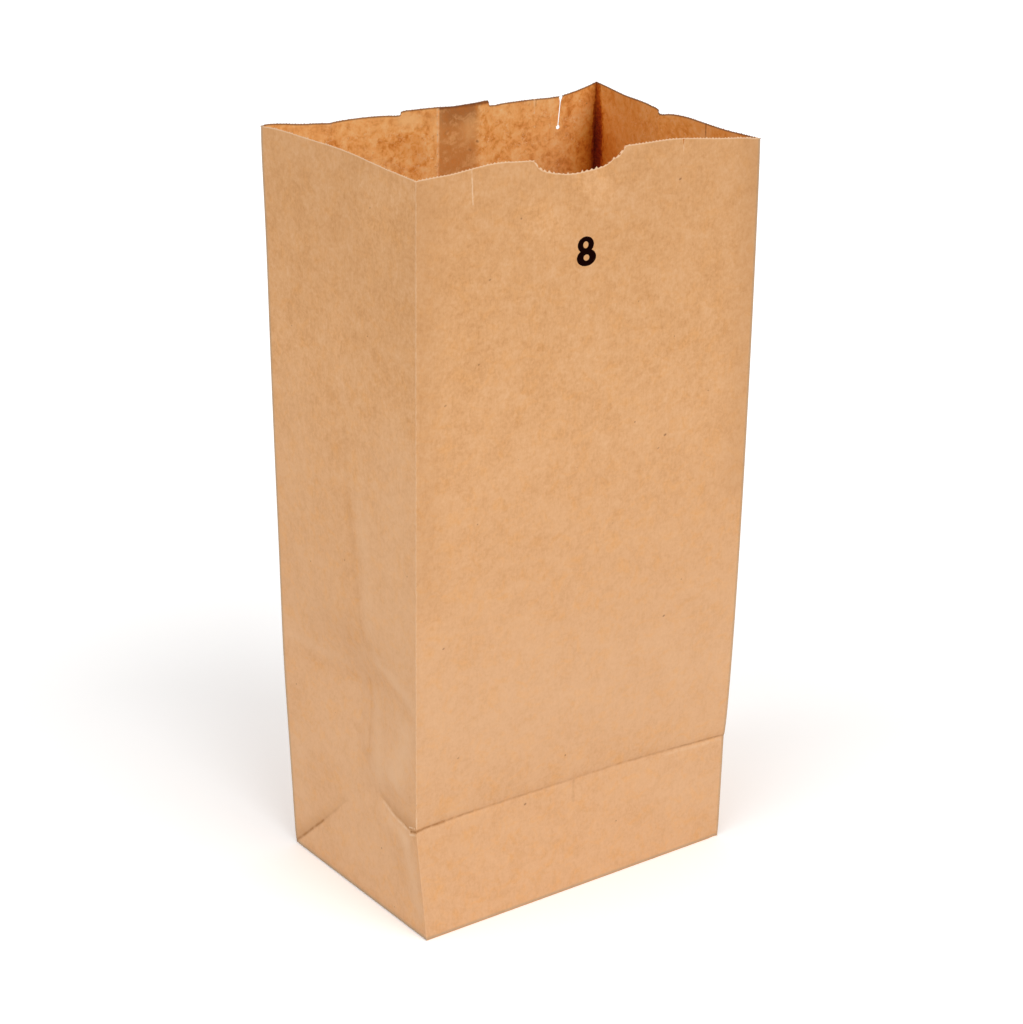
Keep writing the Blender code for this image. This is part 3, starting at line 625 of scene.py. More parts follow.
def closeBottom(mesh, columns, outer, inner):
    width, depth = bag["base"]
    flap = (depth + bag["flapOverlap"]) / 2
    meet, halfTip, lap = (width - depth) / 2, width / 2 - flap, bag["flapOverlap"] / 2
    paper = bag["paper"]

    gussetEnds, floor = layers["gussets"], layers["floor"]

    def spot(x, y, layer):
        return mesh.verts.new(Vector((x, y, layer * paper)) * mm)

    left, right, tipLeft, tipRight = (
        spot(x, y, gussetEnds) for x, y in ((-meet, 0), (meet, 0), (-halfTip, lap), (halfTip, lap))
    )
    sides = [ringPart(columns, outer, (panel, 0.0), ((panel + 1) % 4, 0.0)) for panel in range(4)]
    fillBetween(mesh, sides[1], [right], 0)
    fillBetween(mesh, sides[3], [left], 0)
    front = fillBetween(mesh, sides[0], [left, tipLeft, tipRight, right], 0)
    back = fillBetween(mesh, sides[2], [right, tipRight, tipLeft, left], 0)
    dropFaces(mesh, back, (layers["backFlap"] - gussetEnds) * paper)
    dropFaces(mesh, front, (layers["frontFlap"] - gussetEnds) * paper)
    share = flap / width
    onLeftEdge, onRightEdge = (spot(x, -lap, floor) for x in (-halfTip, halfTip))

    def fillFloor(start, end, spots):
        return fillBetween(mesh, ringPart(columns, inner, start, end), spots, 1)

    fillFloor((0, 1 - share), (2, share), [onRightEdge])
    fillFloor((2, 1 - share), (0, share), [onLeftEdge])
    gapFront = fillFloor((0, share), (0, 1 - share), [onLeftEdge, onRightEdge])
    gapBack = fillFloor((2, share), (2, 1 - share), [onRightEdge, onLeftEdge])
    dropFaces(mesh, gapBack, (layers["backFlap"] + 1 - floor) * paper)
    dropFaces(mesh, gapFront, (layers["frontFlap"] + 1 - floor) * paper)


def makeShell():
    columns = sheetColumns()
    grids = sheetPoints(columns)
    normals = inwardNormals(grids)
    rows = len(grids[0][0])
    mesh = bmesh.new()
    sheet = mesh.loops.layers.uv.new("sheet")
    toEdge = mesh.verts.layers.float.new("toEdge")
    tone = mesh.verts.layers.float.new("tone")
    skins = []
    for layer in (0, 1):
        rings = []
        for j in range(rows):
            ring = []
            for (panel, across, *_), (points, cut), pushes in zip(columns, grids, normals):
                sheets = seamLayers(panel, across)[layer]
                point = points[j] + pushes[j] * bag["paper"] * sheets
                point.z = points[j].z if layer == 0 or j else layers["floor"] * bag["paper"]
                vertex = mesh.verts.new(point * mm)
                vertex[toEdge] = (cut - points[j].z) * mm
                # the tone attribute holds painted light and shade
                vertex[tone] = paintedShadingAt(Vector((panelStarts[panel] + across, points[j].z)), layer == 1)
                ring.append(vertex)
            rings.append(ring)
        skins.append(rings)
    count = len(columns)
    for i in range(count):
        n = (i + 1) % count
        heights, cut = [point.z for point in grids[i][0]], grids[i][1]
        firstHalf = columns[i][1] < panelWidths[columns[i][0]] / 2
        top = next((j for j in range(rows) if isOpen(columns[i], heights[j], cut)), rows - 1)
        for layer, rings in enumerate(skins):
            for j in range(top):
                a, b, c, d = rings[j][i], rings[j][n], rings[j + 1][n], rings[j + 1][i]
                for corners in (((a, b, c), (a, c, d)) if firstHalf else ((a, b, d), (b, c, d))):
                    face = mesh.faces.new(corners if layer == 0 else corners[::-1])
                    face.material_index = layer
        gap = [(top, i), (top, n)]
        for j in range(top, rows - 1):
            gap = [(j + 1, i)] + gap + [(j + 1, n)]
        outer, inner = skins
        for (j, one), (k, other) in zip(gap, gap[1:]):
            face = mesh.faces.new((outer[j][one], outer[k][other], inner[k][other], inner[j][one]))
            face.material_index = 3 if columns[i][0] in (1, 2) else 2
    places = {}
    for rings in skins:
        for j, ring in enumerate(rings):
            for i, vertex in enumerate(ring):
                places[vertex] = (panelStarts[columns[i][0]] + columns[i][1], grids[i][0][j].z)
    for face in mesh.faces:
        crosses = any(places[vertex][0] > panelStarts[3] for vertex in face.verts)
        for loop in face.loops:
            across, height = places[loop.vert]
            if crosses and across == 0:
                across = panelStarts[4]
            loop[sheet].uv = (across * mm, height * mm)
    closeBottom(mesh, columns, skins[0][0], skins[1][0])
    across, up = grid["bottomPlace"]
    for face in mesh.faces:
        if all(vertex.co.z < grid["bottomTop"] * mm for vertex in face.verts):
            for loop in face.loops:
                loop[sheet].uv = (across + loop.vert.co.x, up + loop.vert.co.y)
    data = bpy.data.meshes.new("bagShell")
    bmesh.ops.recalc_face_normals(mesh, faces=mesh.faces)
    mesh.to_mesh(data)
    mesh.free()
    data.shade_smooth()
    data.set_sharp_from_angle(angle=math.radians(grid["sharpAngle"]))
    shell = bpy.data.objects.new("bagShell", data)
    bpy.context.collection.objects.link(shell)
    print("sheet:", count, "columns,", rows, "rows,", len(data.polygons), "faces")
    return shell, columns, grids, normals


# Shader helpers

def newGroup(name, inputs, outputs):
    tree = bpy.data.node_groups.new(name, "ShaderNodeTree")
    for label, kind, value in inputs:
        socket = tree.interface.new_socket(label, in_out="INPUT", socket_type=kind)
        if value is not None:
            socket.default_value = value
    for label, kind in outputs:
        tree.interface.new_socket(label, in_out="OUTPUT", socket_type=kind)
    return tree, tree.nodes.new("NodeGroupInput").outputs, tree.nodes.new("NodeGroupOutput").inputs


def feed(tree, socket, value):
    if isinstance(value, bpy.types.NodeSocket):
        tree.links.new(value, socket)
    elif value is not None:
        socket.default_value = value


def calc(tree, operation, a, b=None, c=None, clamp=False):
    node = tree.nodes.new("ShaderNodeMath")
    node.operation = operation
    node.use_clamp = clamp
    for socket, value in zip(node.inputs, (a, b, c)):
        feed(tree, socket, value)
    return node.outputs[0]


def vector(tree, operation, a, b=None, scale=None):
    node = tree.nodes.new("ShaderNodeVectorMath")
    node.operation = operation
    feed(tree, node.inputs[0], a)
    feed(tree, node.inputs[1], b)
    if scale is not None:
        feed(tree, node.inputs["Scale"], scale)
    return node.outputs["Value"] if operation in ("LENGTH", "DOT_PRODUCT", "DISTANCE") else node.outputs[0]


def xyz(tree, x, y, z):
    node = tree.nodes.new("ShaderNodeCombineXYZ")
    for socket, value in zip(node.inputs, (x, y, z)):
        feed(tree, socket, value)
    return node.outputs[0]


def noiseAt(tree, place, scale, detail=3.0, roughness=0.55, distortion=0.0):
    node = tree.nodes.new("ShaderNodeTexNoise")
    feed(tree, node.inputs["Vector"], place)
    feed(tree, node.inputs["Scale"], scale)
    node.inputs["Detail"].default_value = detail
    node.inputs["Roughness"].default_value = roughness
    feed(tree, node.inputs["Distortion"], distortion)
    return node.outputs["Fac"]


def ramp(tree, value, low, high, toLow=0.0, toHigh=1.0):
    node = tree.nodes.new("ShaderNodeMapRange")
    node.interpolation_type = "SMOOTHSTEP"
    for socket, given in zip(node.inputs, (value, low, high, toLow, toHigh)):
        feed(tree, socket, given)
    return node.outputs[0]


def blend(tree, share, a, b, mode="MIX"):
    node = tree.nodes.new("ShaderNodeMix")
    node.data_type = "RGBA"
    node.blend_type = mode
    feed(tree, node.inputs[0], share)
    feed(tree, node.inputs[6], a)
    feed(tree, node.inputs[7], b)
    return node.outputs[2]


def placed(tree, group, **values):
    node = tree.nodes.new("ShaderNodeGroup")
    node.node_tree = group
    for label, value in values.items():
        feed(tree, node.inputs[label], value)
    return node.outputs


def maskGroup(name):
    return newGroup(name, [("Sheet", "NodeSocketVector", None)], [("Mask", "NodeSocketFloat")])


def wavered(tree, sheet):  # places shifted a little to and fro, so that lines waver
    waver = calc(tree, "SUBTRACT", noiseAt(tree, sheet, 0.45, 2.0), 0.5)
    return vector(tree, "ADD", sheet, vector(tree, "SCALE", (0.7, 0.7, 0.0), scale=waver))


# Distance to a line drawn on the flat sheet, in mm, as a soft mask
def lineGroup():
    tree, given, out = newGroup(
        "sheetLine",
        [("Sheet", "NodeSocketVector", None), ("From", "NodeSocketVector", None),
         ("To", "NodeSocketVector", None), ("Width", "NodeSocketFloat", 1.0)],
        [("Mask", "NodeSocketFloat")],
    )
    along = vector(tree, "SUBTRACT", given["To"], given["From"])
    fromStart = vector(tree, "SUBTRACT", given["Sheet"], given["From"])
    share = calc(tree, "DIVIDE", vector(tree, "DOT_PRODUCT", fromStart, along),
                 vector(tree, "DOT_PRODUCT", along, along), clamp=True)
    nearest = vector(tree, "SCALE", along, scale=share)
    distance = vector(tree, "DISTANCE", fromStart, nearest)
    feed(tree, out["Mask"], ramp(tree, distance, 0.0, given["Width"], 1.0, 0.0))
    return tree


# Shade that starts sharply at a line and fades out on its left side
def foldShadeGroup():
    tree, given, out = maskGroup("foldShades")
    place = wavered(tree, given["Sheet"])
    mask = 0.0
    for start, end, reach, share in foldShades:
        along = Vector((end[0] - start[0], end[1] - start[1], 0))
        fromStart = vector(tree, "SUBTRACT", place, (start[0], start[1], 0))
        reached = vector(tree, "DOT_PRODUCT", fromStart, tuple(along))
        part = calc(tree, "DIVIDE", reached, along.length_squared, clamp=True)
        distance = vector(tree, "DISTANCE", fromStart, vector(tree, "SCALE", tuple(along), scale=part))
        side = vector(tree, "DOT_PRODUCT", fromStart, (-along.y / along.length, along.x / along.length, 0))
        near = ramp(tree, distance, 0.0, reach, 1.0, 0.0)
        soft = calc(tree, "MULTIPLY", near, ramp(tree, side, -0.3, 0.3))
        mask = calc(tree, "MAXIMUM", mask, calc(tree, "MULTIPLY", soft, share))
    feed(tree, out["Mask"], mask)
    return tree


# Noise in the pulp: scale, detail, roughness and distortion
pulpNoise = {
    "tint": (0.16, 4.0, 0.65, 0.8),
    "fibre": (1.0, 2.0, 0.5, 1.2),
    "strand": (0.42, 1.0, 0.5, 1.6),
    "strandPatches": (0.24, 2.0),
}


# Pulp: clouds and blotches where the sheet formed unevenly, grain, and fibres that lie along the web
def fibreGroup():
    tree, given, out = newGroup(
        "kraftPulp",
        [("Sheet", "NodeSocketVector", None), ("Cloud Size", "NodeSocketFloat", 16.0),
         ("Blotch Size", "NodeSocketFloat", 3.6), ("Grain Size", "NodeSocketFloat", 1.3),
         ("Fibre Width", "NodeSocketFloat", 0.75), ("Fibre Length", "NodeSocketFloat", 3.4),
         ("Curl", "NodeSocketFloat", 0.6)],
        [("Cloud", "NodeSocketFloat"), ("Blotch", "NodeSocketFloat"), ("Grain", "NodeSocketFloat"),
         ("Fibre", "NodeSocketFloat"), ("Tint", "NodeSocketFloat"), ("Strand", "NodeSocketFloat")],
    )
    for name, detail in (("Cloud", 3.0), ("Blotch", 3.0), ("Grain", 2.0)):
        scale = calc(tree, "DIVIDE", 1.0, given[name + " Size"])
        feed(tree, out[name], noiseAt(tree, given["Sheet"], scale, detail, 0.6, given["Curl"]))
    shifted = vector(tree, "ADD", given["Sheet"], (140.0, 60.0, 0.0))
    feed(tree, out["Tint"], noiseAt(tree, shifted, *pulpNoise["tint"]))
    narrow, short = (calc(tree, "DIVIDE", 1.0, given[name]) for name in ("Fibre Width", "Fibre Length"))
    laid = vector(tree, "MULTIPLY", given["Sheet"], xyz(tree, narrow, short, 1.0))
    feed(tree, out["Fibre"], noiseAt(tree, laid, *pulpNoise["fibre"]))
    bent = calc(tree, "SUBTRACT", noiseAt(tree, shifted, *pulpNoise["strand"]), 0.5)
    bent = calc(tree, "ABSOLUTE", bent)
    here = ramp(tree, noiseAt(tree, shifted, *pulpNoise["strandPatches"]), 0.48, 0.62)
    feed(tree, out["Strand"], calc(tree, "MULTIPLY", ramp(tree, bent, 0.0, 0.045, 1.0, 0.0), here))
    return tree


# Bark and shive flecks: a few of many cells hold one
def fleckGroup():
    tree, given, out = newGroup(
        "barkFlecks",
        [("Sheet", "NodeSocketVector", None), ("Cell", "NodeSocketFloat", 9.0),
         ("Share", "NodeSocketFloat", 0.05), ("Size", "NodeSocketFloat", 0.32)],
        [("Mask", "NodeSocketFloat")],
    )
    cells = tree.nodes.new("ShaderNodeTexVoronoi")
    cells.voronoi_dimensions = "2D"
    feed(tree, cells.inputs["Vector"], given["Sheet"])
    feed(tree, cells.inputs["Scale"], calc(tree, "DIVIDE", 1.0, given["Cell"]))
    pick = tree.nodes.new("ShaderNodeSeparateColor")
    feed(tree, pick.inputs[0], cells.outputs["Color"])
    chosen = calc(tree, "LESS_THAN", pick.outputs[0], given["Share"])
    size = calc(tree, "MULTIPLY", calc(tree, "ADD", pick.outputs[1], 0.3), given["Size"])
    distance = calc(tree, "MULTIPLY", cells.outputs["Distance"], given["Cell"])
    wobble = calc(tree, "MULTIPLY", noiseAt(tree, given["Sheet"], 3.0), 0.25)
    spot = ramp(tree, calc(tree, "ADD", distance, wobble), size, calc(tree, "ADD", size, 0.25), 1.0, 0.0)
    feed(tree, out["Mask"], calc(tree, "MULTIPLY", spot, chosen))
    return tree


def lineMask(tree, lineTree, place, start, end, width):
    return placed(tree, lineTree, Sheet=place, From=(*start, 0), To=(*end, 0), Width=width)["Mask"]


widestMark = 1.5  # half the width of the widest mark drawn on the sheet


# Creases and nicks of the sheet as two masks: painted shade in the creases, and pale lines that are mostly
# painted highlights beside folds, with a few score and nick lines
def creaseGroup(name, lineTree, lines):
    tree, given, out = newGroup(
        name,
        [("Sheet", "NodeSocketVector", None)],
        [("Dark", "NodeSocketFloat"), ("Pale", "NodeSocketFloat")],
    )
    place = wavered(tree, given["Sheet"])
    dark, pale = 0.0, 0.0
    for start, end, _, width, darkShare, paleShare in lines:
        if darkShare or paleShare:
            mask = lineMask(tree, lineTree, place, start, end, min(widestMark, width))
        if darkShare:
            dark = calc(tree, "MAXIMUM", dark, calc(tree, "MULTIPLY", mask, darkShare))
        if paleShare:
            pale = calc(tree, "MAXIMUM", pale, calc(tree, "MULTIPLY", mask, paleShare))
    broken = noiseAt(tree, given["Sheet"], 0.35, 3.0)
    feed(tree, out["Dark"], calc(tree, "MULTIPLY", dark, ramp(tree, broken, 0.3, 0.6, 0.45, 1.0)))
    feed(tree, out["Pale"], calc(tree, "MULTIPLY", pale, ramp(tree, broken, 0.35, 0.6, 0.25, 1.0)))
    return tree


def linesGroup(name, lineTree, lines):  # lines with a share each, as one mask
    tree, given, out = maskGroup(name)
    mask = 0.0
    for start, end, width, share in lines:
        line = lineMask(tree, lineTree, given["Sheet"], start, end, width)
        mask = calc(tree, "MAXIMUM", mask, calc(tree, "MULTIPLY", line, share))
    feed(tree, out["Mask"], mask)
    return tree


def sheetPlace(tree):  # place on the flat sheet, in mm
    coordinates = tree.nodes.new("ShaderNodeUVMap")
    coordinates.uv_map = "sheet"
    return vector(tree, "SCALE", coordinates.outputs[0], scale=1000.0)


def attribute(tree, name):
    node = tree.nodes.new("ShaderNodeAttribute")
    node.attribute_name = name
    return node.outputs["Fac"]


def newMaterial(name, roughness):
    material = bpy.data.materials.new(name)
    material.use_nodes = True
    shader = material.node_tree.nodes["Principled BSDF"]
    shader.inputs["Roughness"].default_value = roughness
    return material, material.node_tree, shader


outerLook = {
    # top and low: painted light, the sheet is paler near the floor and darker near the mouth
    "top": (0.766, 0.410, 0.185, 1),
    "low": (0.758, 0.430, 0.227, 1),
    "deep": (0.600, 0.285, 0.105, 1),
    "light": (0.860, 0.520, 0.285, 1),
    "warm": (0.810, 0.400, 0.145, 1),
    # shade and facet: painted shade and painted highlight, for the tone attribute and the fold shades
    "shade": (0.560, 0.290, 0.130, 1),
    "paintedLitFacet": (0.830, 0.530, 0.320, 1),
    # dark: painted shade in the creases
    "dark": (0.330, 0.130, 0.035, 1),
    "pale": (0.900, 0.640, 0.420, 1),
    # outline: painted shade along the folds and painted contact shadow at the base
    "outline": (0.330, 0.285, 0.215, 1),
    "fleck": (0.230, 0.095, 0.040, 1),
    # ramps: from, to, value before and value after
    "rise": (60.0, 300.0),  # heights between which the low colour turns into the top one; painted light, paler low down and darker and more saturated at the top
    "warmth": (0.45, 0.75, 0.0, 0.6),
    "calm": (110.0, 300.0, 0.5, 1.0),  # how much of the mottling is left, by height
    "rim": (0.0, 0.0006, 0.8, 0.0),
    "roughness": (0.2, 0.8, 0.62, 0.76),
    "gloss": 0.02,
    "tooth": (0.35, 0.00012),  # strength and height of the bump
    "flecks": 0.5,
    "marks": 0.85,
    "cloud": 0.25,
    "blotch": 0.27,
    "grain": 0.26,
    "fibre": 0.18,
}

innerLook = {
    # base: painted light, the inside is painted more orange than the outside for light that comes through
    # the paper and bounces inside
    "base": (0.910, 0.425, 0.118, 1),
    "deep": (0.640, 0.205, 0.022, 1),
    "light": (0.985, 0.590, 0.245, 1),
    # scorch: painted shade, for dark lines at the inside rim and nicks and for the far cut edge
    "paintedInnerShade": (0.260, 0.070, 0.014, 1),
    # edge: painted shade, a dark line along the inside rims
    "edge": (0.220, 0.105, 0.045, 1),
    "curl": (0.980, 0.660, 0.340, 1),
    "pale": (0.920, 0.640, 0.370, 1),
    # seam and seamTop: painted shade, the double layer lets less light through and is darker still near the
    # rim
    "seam": (0.630, 0.268, 0.076, 1),
    "seamTop": (0.445, 0.178, 0.050, 1),
    "fleck": (0.200, 0.070, 0.020, 1),
    "thirst": (1.0, 2.15, 5.8),  # how fast the crevice swallows red, green and blue
    # the crevice's dark middle and its soft surroundings: width and depth at the mouth and further down
    "core": {"width": (0.9, 2.4), "depth": (0.35, 0.74), "down": (0.003, 0.015), "onBack": 1.15,
             "onRight": (-0.45, -1.0), "deeperRight": (-1.2, 0.2, 1.35, 1.0), "wander": 2.4, "flat": 0.3},
    "halo": {"width": (1.8, 5.2), "depth": (0.25, 0.78), "down": (0.005, 0.028), "onRight": -0.6,
             "end": (9.0, 20.0, 1.0, 0.0), "wander": 3.0},
    "pulp": {"Cloud Size": 11.0, "Blotch Size": 4.6, "Grain Size": 2.3, "Fibre Width": 1.1,
             "Fibre Length": 4.2, "Curl": 1.0},
    "seamStarts": (2.5, 7.5),  # the double layer's painted shade sets in softly
    "seamDown": (0.004, 0.011),
    "seamCalm": 0.42,  # how much of the mottling shows on it
    # rim: where the painted shade along the inside rim sets in
    "rim": (0.0002, 0.0009, 0.8, 0.0),
    "gloss": 0.2,
    "tooth": (0.6, 0.0002),  # strength and height of the bump
    "flecks": 0.5,
    "marks": 0.9,
    "strand": 0.75,
    "cloud": 0.42,
    "blotch": 0.55,
    "grain": 0.35,
    "fibre": 0.16,
}

digit = {
    "middle": (74.4, 279.9),
    "upper": {"aside": -0.25, "rise": 2.6, "outer": (3.7, 3.3), "hole": (1.15, 1.35)},
    "lower": {"aside": 0.1, "rise": -2.5, "outer": (4.4, 3.4), "hole": (1.3, 1.2)},
    "soft": 0.06,
    "ragged": (2.2, 0.10),  # the ink's edge: fineness and size
    "ink": (0.0062, 0.0004, 0.0001, 1),
}


def digitGroup():  # a size number eight, as two bowls
    tree, given, out = maskGroup("inkEight")
    fineness, size = digit["ragged"]
    rough = calc(tree, "SUBTRACT", noiseAt(tree, given["Sheet"], fineness), 0.5)
    rough = calc(tree, "MULTIPLY", rough, size)

    def oval(middle, radii):
        offset = vector(tree, "SUBTRACT", given["Sheet"], (middle[0], middle[1], 0))
        ratio = vector(tree, "LENGTH", vector(tree, "MULTIPLY", offset, (1 / radii[0], 1 / radii[1], 0)))
        ratio = calc(tree, "ADD", ratio, rough)
        soft = digit["soft"] / min(radii)
        return ramp(tree, ratio, 1 - soft, 1 + soft, 1.0, 0.0)

    ink, holes = 0.0, 0.0
    for bowl in (digit["upper"], digit["lower"]):
        middle = (digit["middle"][0] + bowl["aside"], digit["middle"][1] + bowl["rise"])
        ink = calc(tree, "MAXIMUM", ink, oval(middle, bowl["outer"]))
        holes = calc(tree, "MAXIMUM", holes, oval(middle, bowl["hole"]))
    feed(tree, out["Mask"], calc(tree, "SUBTRACT", ink, holes, clamp=True))
    return tree


def pulpTone(tree, pulp, look):  # clouds, blotches, grain and fibres as one tone round zero
    tone = 0.0
    for name in ("cloud", "blotch", "grain", "fibre"):
        part = ramp(tree, pulp[name.capitalize()], 0.28, 0.72, -look[name], look[name])
        tone = calc(tree, "ADD", tone, part)
    return tone


def toned(tree, tone, colour, light, dark):  # towards light above zero, towards dark below
    colour = blend(tree, calc(tree, "MULTIPLY", tone, 1.0, clamp=True), colour, light)
    return blend(tree, calc(tree, "MULTIPLY", tone, -1.0, clamp=True), colour, dark)


def addTooth(tree, shader, pulp, look):
    bump = tree.nodes.new("ShaderNodeBump")
    bump.inputs["Strength"].default_value, bump.inputs["Distance"].default_value = look["tooth"]
    feed(tree, bump.inputs["Height"], calc(tree, "ADD", pulp["Grain"], pulp["Fibre"]))
    feed(tree, shader.inputs["Normal"], bump.outputs[0])


def outerKraft(groups):
    look = outerLook
    material, tree, shader = newMaterial("outerKraft", 0.7)
    sheet = sheetPlace(tree)
    pulp = placed(tree, groups["pulp"], Sheet=sheet)
    marks = placed(tree, groups["marks"], Sheet=sheet)
    place = tree.nodes.new("ShaderNodeSeparateXYZ")
    feed(tree, place.inputs[0], sheet)
    # painted light: paler low down, darker at the top
    colour = blend(tree, ramp(tree, place.outputs[1], *look["rise"]), look["low"], look["top"])
    colour = blend(tree, ramp(tree, pulp["Tint"], *look["warmth"]), colour, look["warm"])
    calm = ramp(tree, place.outputs[1], *look["calm"])
    tone = calc(tree, "MULTIPLY", pulpTone(tree, pulp, look), calm)
    colour = toned(tree, tone, colour, look["light"], look["deep"])
    # painted light and shade from the tone attribute
    colour = toned(tree, attribute(tree, "tone"), colour, look["paintedLitFacet"], look["shade"])
    shaded = placed(tree, groups["foldShades"], Sheet=sheet)["Mask"]
    colour = blend(tree, shaded, colour, look["shade"])
    fleck = placed(tree, groups["flecks"], Sheet=sheet, Share=0.02)["Mask"]
    fleck = calc(tree, "MAXIMUM", calc(tree, "MULTIPLY", fleck, look["flecks"]),
                 placed(tree, groups["specks"], Sheet=sheet)["Mask"])
    colour = blend(tree, fleck, colour, look["fleck"])
    # painted shade in the creases
    colour = blend(tree, calc(tree, "MULTIPLY", marks["Dark"], look["marks"]), colour, look["dark"])
    # pale: the cut edge's own pale fibres, and pale lines that are mostly painted highlights beside folds
    nearEdge = ramp(tree, attribute(tree, "toEdge"), *look["rim"])
    pale = calc(tree, "MAXIMUM", marks["Pale"], nearEdge)
    colour = blend(tree, pale, colour, look["pale"])
    # painted shade along the outer folds and painted contact shadow at the base
    outline = placed(tree, groups["outlines"], Sheet=sheet)["Mask"]
    colour = blend(tree, outline, colour, look["outline"])
    ink = placed(tree, groups["digit"], Sheet=sheet)["Mask"]
    colour = blend(tree, ink, colour, digit["ink"])
    feed(tree, shader.inputs["Base Color"], colour)
    feed(tree, shader.inputs["Roughness"], ramp(tree, pulp["Grain"], *look["roughness"]))
    shader.inputs["Specular IOR Level"].default_value = look["gloss"]
    addTooth(tree, shader, pulp, look)
    return material


# Light that bounces in the back right corner turns deep red
def creviceTint(tree, sheet, across, below, look):
    core, halo = look["core"], look["halo"]
    signed = calc(tree, "SUBTRACT", across, panelStarts[2])
    strokes = noiseAt(tree, vector(tree, "MULTIPLY", sheet, (1.1, 0.4, 0.0)), 1.0, 2.0)
    strokes = calc(tree, "SUBTRACT", strokes, 0.5)
    beads = noiseAt(tree, vector(tree, "MULTIPLY", sheet, (0.3, 1.0, 0.0)), 1.0, 1.0)
    beads = ramp(tree, beads, 0.35, 0.65, 0.7, 1.15)
    onRight = calc(tree, "MULTIPLY_ADD", signed, *core["onRight"])
    away = calc(tree, "MAXIMUM", calc(tree, "MULTIPLY", signed, core["onBack"]), onRight)
    away = calc(tree, "MULTIPLY_ADD", strokes, core["wander"], away)
    width = ramp(tree, below, *core["down"], *core["width"])
    flat = calc(tree, "MULTIPLY", width, core["flat"])
    depth = calc(tree, "MULTIPLY", ramp(tree, below, *core["down"], *core["depth"]), beads)
    depth = calc(tree, "MULTIPLY", depth, ramp(tree, away, flat, width, 1.0, 0.0))
    depth = calc(tree, "MULTIPLY", depth, ramp(tree, signed, *core["deeperRight"]))
    away = calc(tree, "MAXIMUM", signed, calc(tree, "MULTIPLY", signed, halo["onRight"]))
    away = calc(tree, "MULTIPLY_ADD", strokes, halo["wander"], away)
    width = ramp(tree, below, *halo["down"], *halo["width"])
    faded = calc(tree, "EXPONENT", calc(tree, "MULTIPLY", calc(tree, "DIVIDE", away, width), -1.0))
    faded = calc(tree, "MULTIPLY", calc(tree, "MINIMUM", faded, 1.0), ramp(tree, away, *halo["end"]))
    depth = calc(tree, "MULTIPLY_ADD", faded, ramp(tree, below, *halo["down"], *halo["depth"]), depth)
    kept = [calc(tree, "EXPONENT", calc(tree, "MULTIPLY", depth, -share)) for share in look["thirst"]]
    return xyz(tree, *kept)


def innerKraft(groups):
    look = innerLook
    material, tree, shader = newMaterial("innerKraft", 0.9)
    sheet = sheetPlace(tree)
    pulp = placed(tree, groups["pulp"], Sheet=sheet, **look["pulp"])
    marks = placed(tree, groups["innerMarksAndShade"], Sheet=sheet)
    place = tree.nodes.new("ShaderNodeSeparateXYZ")
    feed(tree, place.inputs[0], sheet)
    across = place.outputs[0]
    end = panelStarts[3] - bag["seamStart"]
    start = end - bag["seamOverlap"]
    inSeam = calc(tree, "MULTIPLY", ramp(tree, across, *(start + at for at in look["seamStarts"])),
                  ramp(tree, across, end - 0.3, end, 1.0, 0.0))
    below = attribute(tree, "toEdge")
    # painted shade of the double seam over the painted light of the inside
    seam = blend(tree, ramp(tree, below, *look["seamDown"]), look["seamTop"], look["seam"])
    colour = blend(tree, inSeam, look["base"], seam)
    calm = ramp(tree, inSeam, 0.0, 1.0, 1.0, look["seamCalm"])
    tone = calc(tree, "MULTIPLY", pulpTone(tree, pulp, look), calm)
    colour = toned(tree, tone, colour, look["light"], look["deep"])
    strand = calc(tree, "MULTIPLY", pulp["Strand"], calc(tree, "SUBTRACT", 1.0, inSeam))
    colour = blend(tree, calc(tree, "MULTIPLY", strand, look["strand"]), colour, look["curl"])
    # painted light and shade from the tone attribute
    colour = toned(tree, attribute(tree, "tone"), colour, look["light"], look["deep"])
    fleck = placed(tree, groups["flecks"], Sheet=sheet, Cell=6.0)["Mask"]
    colour = blend(tree, calc(tree, "MULTIPLY", fleck, look["flecks"]), colour, look["fleck"])
    crevice = creviceTint(tree, sheet, across, below, look)
    colour = blend(tree, 1.0, colour, crevice, "MULTIPLY")
    # painted shade along the inside rim and at the nicks
    colour = blend(tree, calc(tree, "MULTIPLY", marks["Dark"], look["marks"]), colour, look["paintedInnerShade"])
    # painted shade along the inside rim
    colour = blend(tree, ramp(tree, below, *look["rim"]), colour, look["edge"])
    # pale lines at the nicks and a painted highlight at the seam's edge
    colour = blend(tree, marks["Pale"], colour, look["pale"])
    feed(tree, shader.inputs["Base Color"], colour)
    shader.inputs["Specular IOR Level"].default_value = look["gloss"]
    addTooth(tree, shader, pulp, look)
    return material


def cutKraft(name, one, other):
    material, tree, shader = newMaterial(name, 0.9)
    place = tree.nodes.new("ShaderNodeTexCoord").outputs["Object"]
    torn = noiseAt(tree, place, 1500.0)
    feed(tree, shader.inputs["Base Color"], blend(tree, torn, one, other))
    return material


# Saw teeth and loose fibres along the cut edge, by Geometry Nodes
teeth = {
    "near": {"pitch": 1.5, "height": 0.42, "seed": 3},
    "far": {"pitch": 1.3, "height": 0.3, "seed": 4},
    "notch": {"pitch": 2.1, "height": 0.8, "seed": 8},
    "notchEnds": (51.5, 91.8),
    "sink": 0.3,
    "thickness": 0.08,
    "broad": 0.78,  # half a tooth's diagonal, against the pitch
    "uneven": ((0.55, 1.0, 0.25), (1.25, 1.0, 1.25)),  # least and greatest share of a tooth's size
    "fibres": {"spacing": 0.9, "length": 0.9, "radius": 0.018, "seed": 5, "lean": (1.2, 1.2, 3.14),
               "least": 0.3},
}


